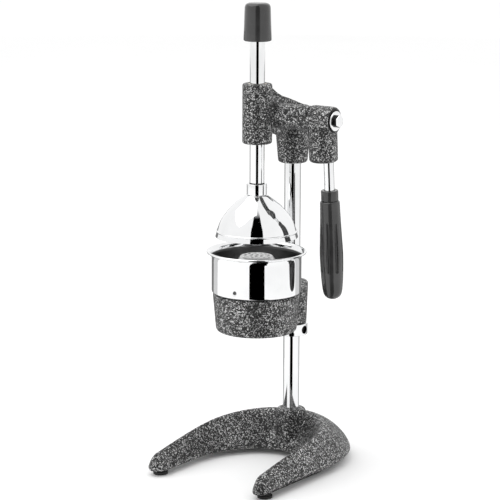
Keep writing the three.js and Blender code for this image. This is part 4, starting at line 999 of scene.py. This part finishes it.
# %% Washer and bolt on the hub
washer_start = hub_end + 0.3
washer = turned("hub_washer_ring", ring_line(4.3, 11.7, washer_start, washer_start + 2.2), 96, 0.7)
settle(washer, ON_LEVER @ LAID_ALONG_X, "lever", "chrome", "hub_washer")

head_start = washer_start + 2.5
bolt = turned("hub_hex_bolt", bar_line(7.3, head_start, head_start + 5), 6, 0.02)
combine(bolt, "INTERSECT", turned("dome", [
    (0, head_start - 1), (7.6, head_start - 1), (7.6, head_start + 4.0), (6.3, head_start + 4.9),
    (0, head_start + 5)], 96, 0.6))
bevel = bolt.modifiers.new("bevel", "BEVEL")
bevel.width, bevel.segments, bevel.limit_method = 0.2 * MM, 2, "ANGLE"
bevel.angle_limit = math.radians(25)
made_plain(bolt)
shank_end = span("hub_bolt")[0].x - MIDDLE_X
combine(bolt, "UNION", body_from("shank", *rod_shape(3.9, shank_end, head_start + 1)))
# painted shade and dark reflection: the sides of the bolt's head and the top of its shank are painted
# nearly black, leaving the domed face bright
bolt_sides = ((MIDDLE_X + head_start + 1.4) * MM, 0, 0)
FINISH["bolt"] = with_painted_shade_and_reflection("bright_bolt_dark_sides", "chrome", bolt_sides, (1, 0, 0), 2.4,
                                0.03, 0.4)
settle(bolt, ON_LEVER @ LAID_ALONG_X, "lever", "chrome", "hub_bolt", coat="bolt")

# %% Handle rod and ferrule
handle_top, grip_start = -10.5, -(83.6 + 12.3 + 0.3)
handle_low = grip_start - 99.7
settle(turned("handle_bar", bar_line(handle_radius, handle_low, handle_top), 96, 0.8),
       ON_HANDLE, "lever", "chrome", "handle_rod")
settle(turned("ferrule_ring", ring_line(handle_radius + LOOSE, 10.2, -83.6, -95.9), 96, 0.9),
       ON_HANDLE, "lever", "plastic", "grip_ferrule")

# %% [markdown]
# The grip swells towards its lower half and closes in a rounded end. Eight flutes with round ends
# are cut into it; the cutter is a thin capsule, placed in a ring by the same tree that makes the
# strainer's holes. How deep each face lies under the grip's skin is kept on it, and paints shade
# into the flutes: the deeper a face, the darker and duller it is.

# %% Grip
grip_length = 119.8
grip_end = grip_start - grip_length
swell = smooth_line([(11.6, grip_start - 1.4), (12.3, grip_start - 0.2 * grip_length),
                     (13.2, grip_start - 0.38 * grip_length), (13.95, grip_start - 0.55 * grip_length),
                     (13.3, grip_start - 0.75 * grip_length), (12.1, grip_start - 0.88 * grip_length),
                     (10.6, grip_end + 6.4), (8.0, grip_end + 2.5), (4.6, grip_end + 0.5)], 6)
grip = turned("fluted_grip", [
    (0, grip_end), *swell[::-1], (10.3, grip_start), (handle_radius + LOOSE, grip_start),
    (handle_radius + LOOSE, grip_start - 100), (0, grip_start - 100)], 128, 0.5)
FLUTE, FLUTES = 2.7, 8
flute_low, flute_high = grip_start - 84, grip_start - 26
end_curve = [(FLUTE * math.sin(math.radians(step)), FLUTE * math.cos(math.radians(step)))
             for step in (0, 22, 45, 68, 90)]
flute = turned("flute_cutter", [(reach, flute_low - rise) for reach, rise in end_curve]
               + [(reach, flute_high + rise) for reach, rise in end_curve[::-1]], 20, 0.01)
run_tree(grip, ring_cuts, Cutter=flute, Material=FINISH["plastic"], Count=FLUTES,
         Radius=14.6 * MM, Turn=math.radians(18))
bpy.data.objects.remove(flute)
swell_heights = [height for _, height in swell]
shaded = grip.data.attributes.new("flute_depth", "FLOAT", "FACE")
for face in grip.data.polygons:
    reach, height = math.hypot(face.center.x, face.center.y) / MM, face.center.z / MM
    if not swell_heights[-1] < height < swell_heights[0]:
        continue
    row = next(i for i in range(len(swell) - 1) if swell[i + 1][1] <= height <= swell[i][1])
    share = (swell[row][1] - height) / max(swell[row][1] - swell[row + 1][1], 1e-6)
    skin = swell[row][0] + (swell[row + 1][0] - swell[row][0]) * share
    shaded.data[face.index].value = min(max((skin - reach - 0.35) / 0.7, 0), 1)
# painted shade: faces deep in the flutes are painted nearly black and made duller
FINISH["grip"], tree, shader, colour, dull = copy_of("plastic", "black_moulding_shaded_flutes")
depth = put(tree, "ShaderNodeAttribute", {"attribute_name": "flute_depth"}).outputs["Fac"]
tree.links.new(tint(tree, depth, colour, grey(0.002)), shader.inputs["Base Color"])
duller = maths(tree, "MULTIPLY", depth, 0.3)
tree.links.new(maths(tree, "ADD", dull, duller), shader.inputs["Roughness"])
settle(grip, ON_HANDLE, "lever", "plastic", "handle_grip", crease=38, coat="grip")

# %% [markdown]
# ## The studio
# A pale floor under an even white sky. Polished bars need something dark to reflect, or they
# vanish: a black runner lies in front, behind the viewpoint it rises as a flag, and grey and pale
# ones lie behind the press to draw the outline of each bar. They are seen only in reflections.

# %% Floor and sky
sky = bpy.data.worlds.new("even_sky")
bpy.context.scene.world = sky
sky.use_nodes = True
sky.node_tree.nodes["Background"].inputs["Color"].default_value = (1, 1, 1, 1)
sky.node_tree.nodes["Background"].inputs["Strength"].default_value = 1.07

floor_material, tree, pattern, shader = finish(
    "pale_floor", handling, 0.02, 0.1, {"Metallic": 0.0}, Patches_Per_Metre=2.0, Smoothest=0.7,
    Dullest=0.9, Grain_Per_Metre=300.0, Clean=grey(0.96), Handled=grey(0.94))
shader.inputs["Specular IOR Level"].default_value = 0.1
floor = turned("studio_floor", bar_line(16000, -30, 0), 96, 5.0)
floor.data.materials.append(floor_material)

# %% Cards that only reflections see
VIEW_TURN = math.radians(35.99)


def shade(name, dark, light, low, high):
    """A self-lit grey that changes with height, from dark at low to light at high, in metres."""
    material = bpy.data.materials.new(name)
    material.use_nodes = True
    tree = material.node_tree
    tree.nodes.clear()
    place = tree.nodes.new("ShaderNodeTexCoord").outputs["Object"]
    height = put(tree, "ShaderNodeSeparateXYZ", None, Vector=place).outputs["Z"]
    mix = tint(tree, between(tree, height, low, high), grey(dark), grey(light))
    glow = put(tree, "ShaderNodeEmission", None, Color=mix)
    put(tree, "ShaderNodeOutputMaterial", None, Surface=glow.outputs[0])
    return material


def card(name, from_turn, to_turn, line, material, centre=(0.0, 0.0), steps=24):
    """A strip that follows a line of (distance, height) metres, between two turns about a centre."""
    corners, faces = [], []
    for distance, height in line:
        for i in range(steps + 1):
            turn = VIEW_TURN + math.radians(from_turn + (to_turn - from_turn) * i / steps)
            corners.append((centre[0] + distance * math.sin(turn),
                            centre[1] - distance * math.cos(turn), height))
    for row in range(len(line) - 1):
        for i in range(steps):
            a = row * (steps + 1) + i
            faces.append((a, a + 1, a + steps + 2, a + steps + 1))
    mesh = bpy.data.meshes.new(name)
    mesh.from_pydata(corners, [], faces)
    item = bpy.data.objects.new(name, mesh)
    bpy.context.collection.objects.link(item)
    mesh.materials.append(material)
    item.visible_camera = item.visible_diffuse = item.visible_shadow = False
    item.visible_transmission = item.visible_volume_scatter = False


FLAG = 4.4
ON_FLOOR = 0.004
flag_arc = [(FLAG * math.cos(math.radians(rise)), FLAG * math.sin(math.radians(rise)))
            for rise in range(4, 89, 6)]
foot_of_column = (middle("column").x * MM, middle("column").y * MM)
black = shade("black_to_white", 0.0, 1.0, 3.95, 4.34)
card("black_runner", -18.8, 18.8,
     [*[(distance, ON_FLOOR) for distance in (0.42, 1.0, 2.2, 4.39)], *flag_arc], black)
card("black_runner_near", -18.8, 18.8, [(0.02, ON_FLOOR), (0.52, ON_FLOOR)], black, foot_of_column)
for reach, centre, end in (([(0.4, 0.003), (1.2, 0.003), (5.0, 0.003)], (0.0, 0.0), "far"),
                           ([(0.02, 0.003), (0.5, 0.003)], foot_of_column, "near")):
    card("grey_ground_" + end, 140, 220, reach, shade("mid_grey_" + end, 0.22, 0.22, 0, 1), centre, 48)
    for from_turn in (116, 220):
        card("pale_ground_" + end, from_turn, from_turn + 24, reach,
             shade("pale_grey_" + end, 0.72, 0.72, 0, 1), centre)

key = bpy.data.lights.new("overhead_softbox", "AREA")
key.shape, key.size, key.size_y, key.energy = "RECTANGLE", 2.4, 2.4, 22
softbox = bpy.data.objects.new("overhead_softbox", key)
softbox.location = (-0.9, -0.6, 2.6)
softbox.rotation_euler = (Vector((0, 0, 0.3)) - softbox.location).to_track_quat("-Z", "Y").to_euler()
bpy.context.collection.objects.link(softbox)
print("studio ready")

# %% [markdown]
# ## The viewpoint
# A long lens from a little above, off to the lever's side.

# %% Camera
lens = bpy.data.cameras.new("long_lens")
lens.sensor_width = 36
lens.lens = 156.6
lens.clip_end = 60
viewpoint = bpy.data.objects.new("viewpoint", lens)
viewpoint.location = (1.4809, -2.0822, 0.7969)
looking = Vector((-0.0295, -0.0029, 0.2647)) - viewpoint.location
roll = Matrix.Rotation(math.radians(0.22), 4, "Z").to_quaternion()
viewpoint.rotation_euler = (looking.to_track_quat("-Z", "Y") @ roll).to_euler()
bpy.context.collection.objects.link(viewpoint)
bpy.context.scene.camera = viewpoint
bpy.context.scene.view_settings.view_transform = "Standard"

# %% Update the scene
bpy.context.view_layer.update()
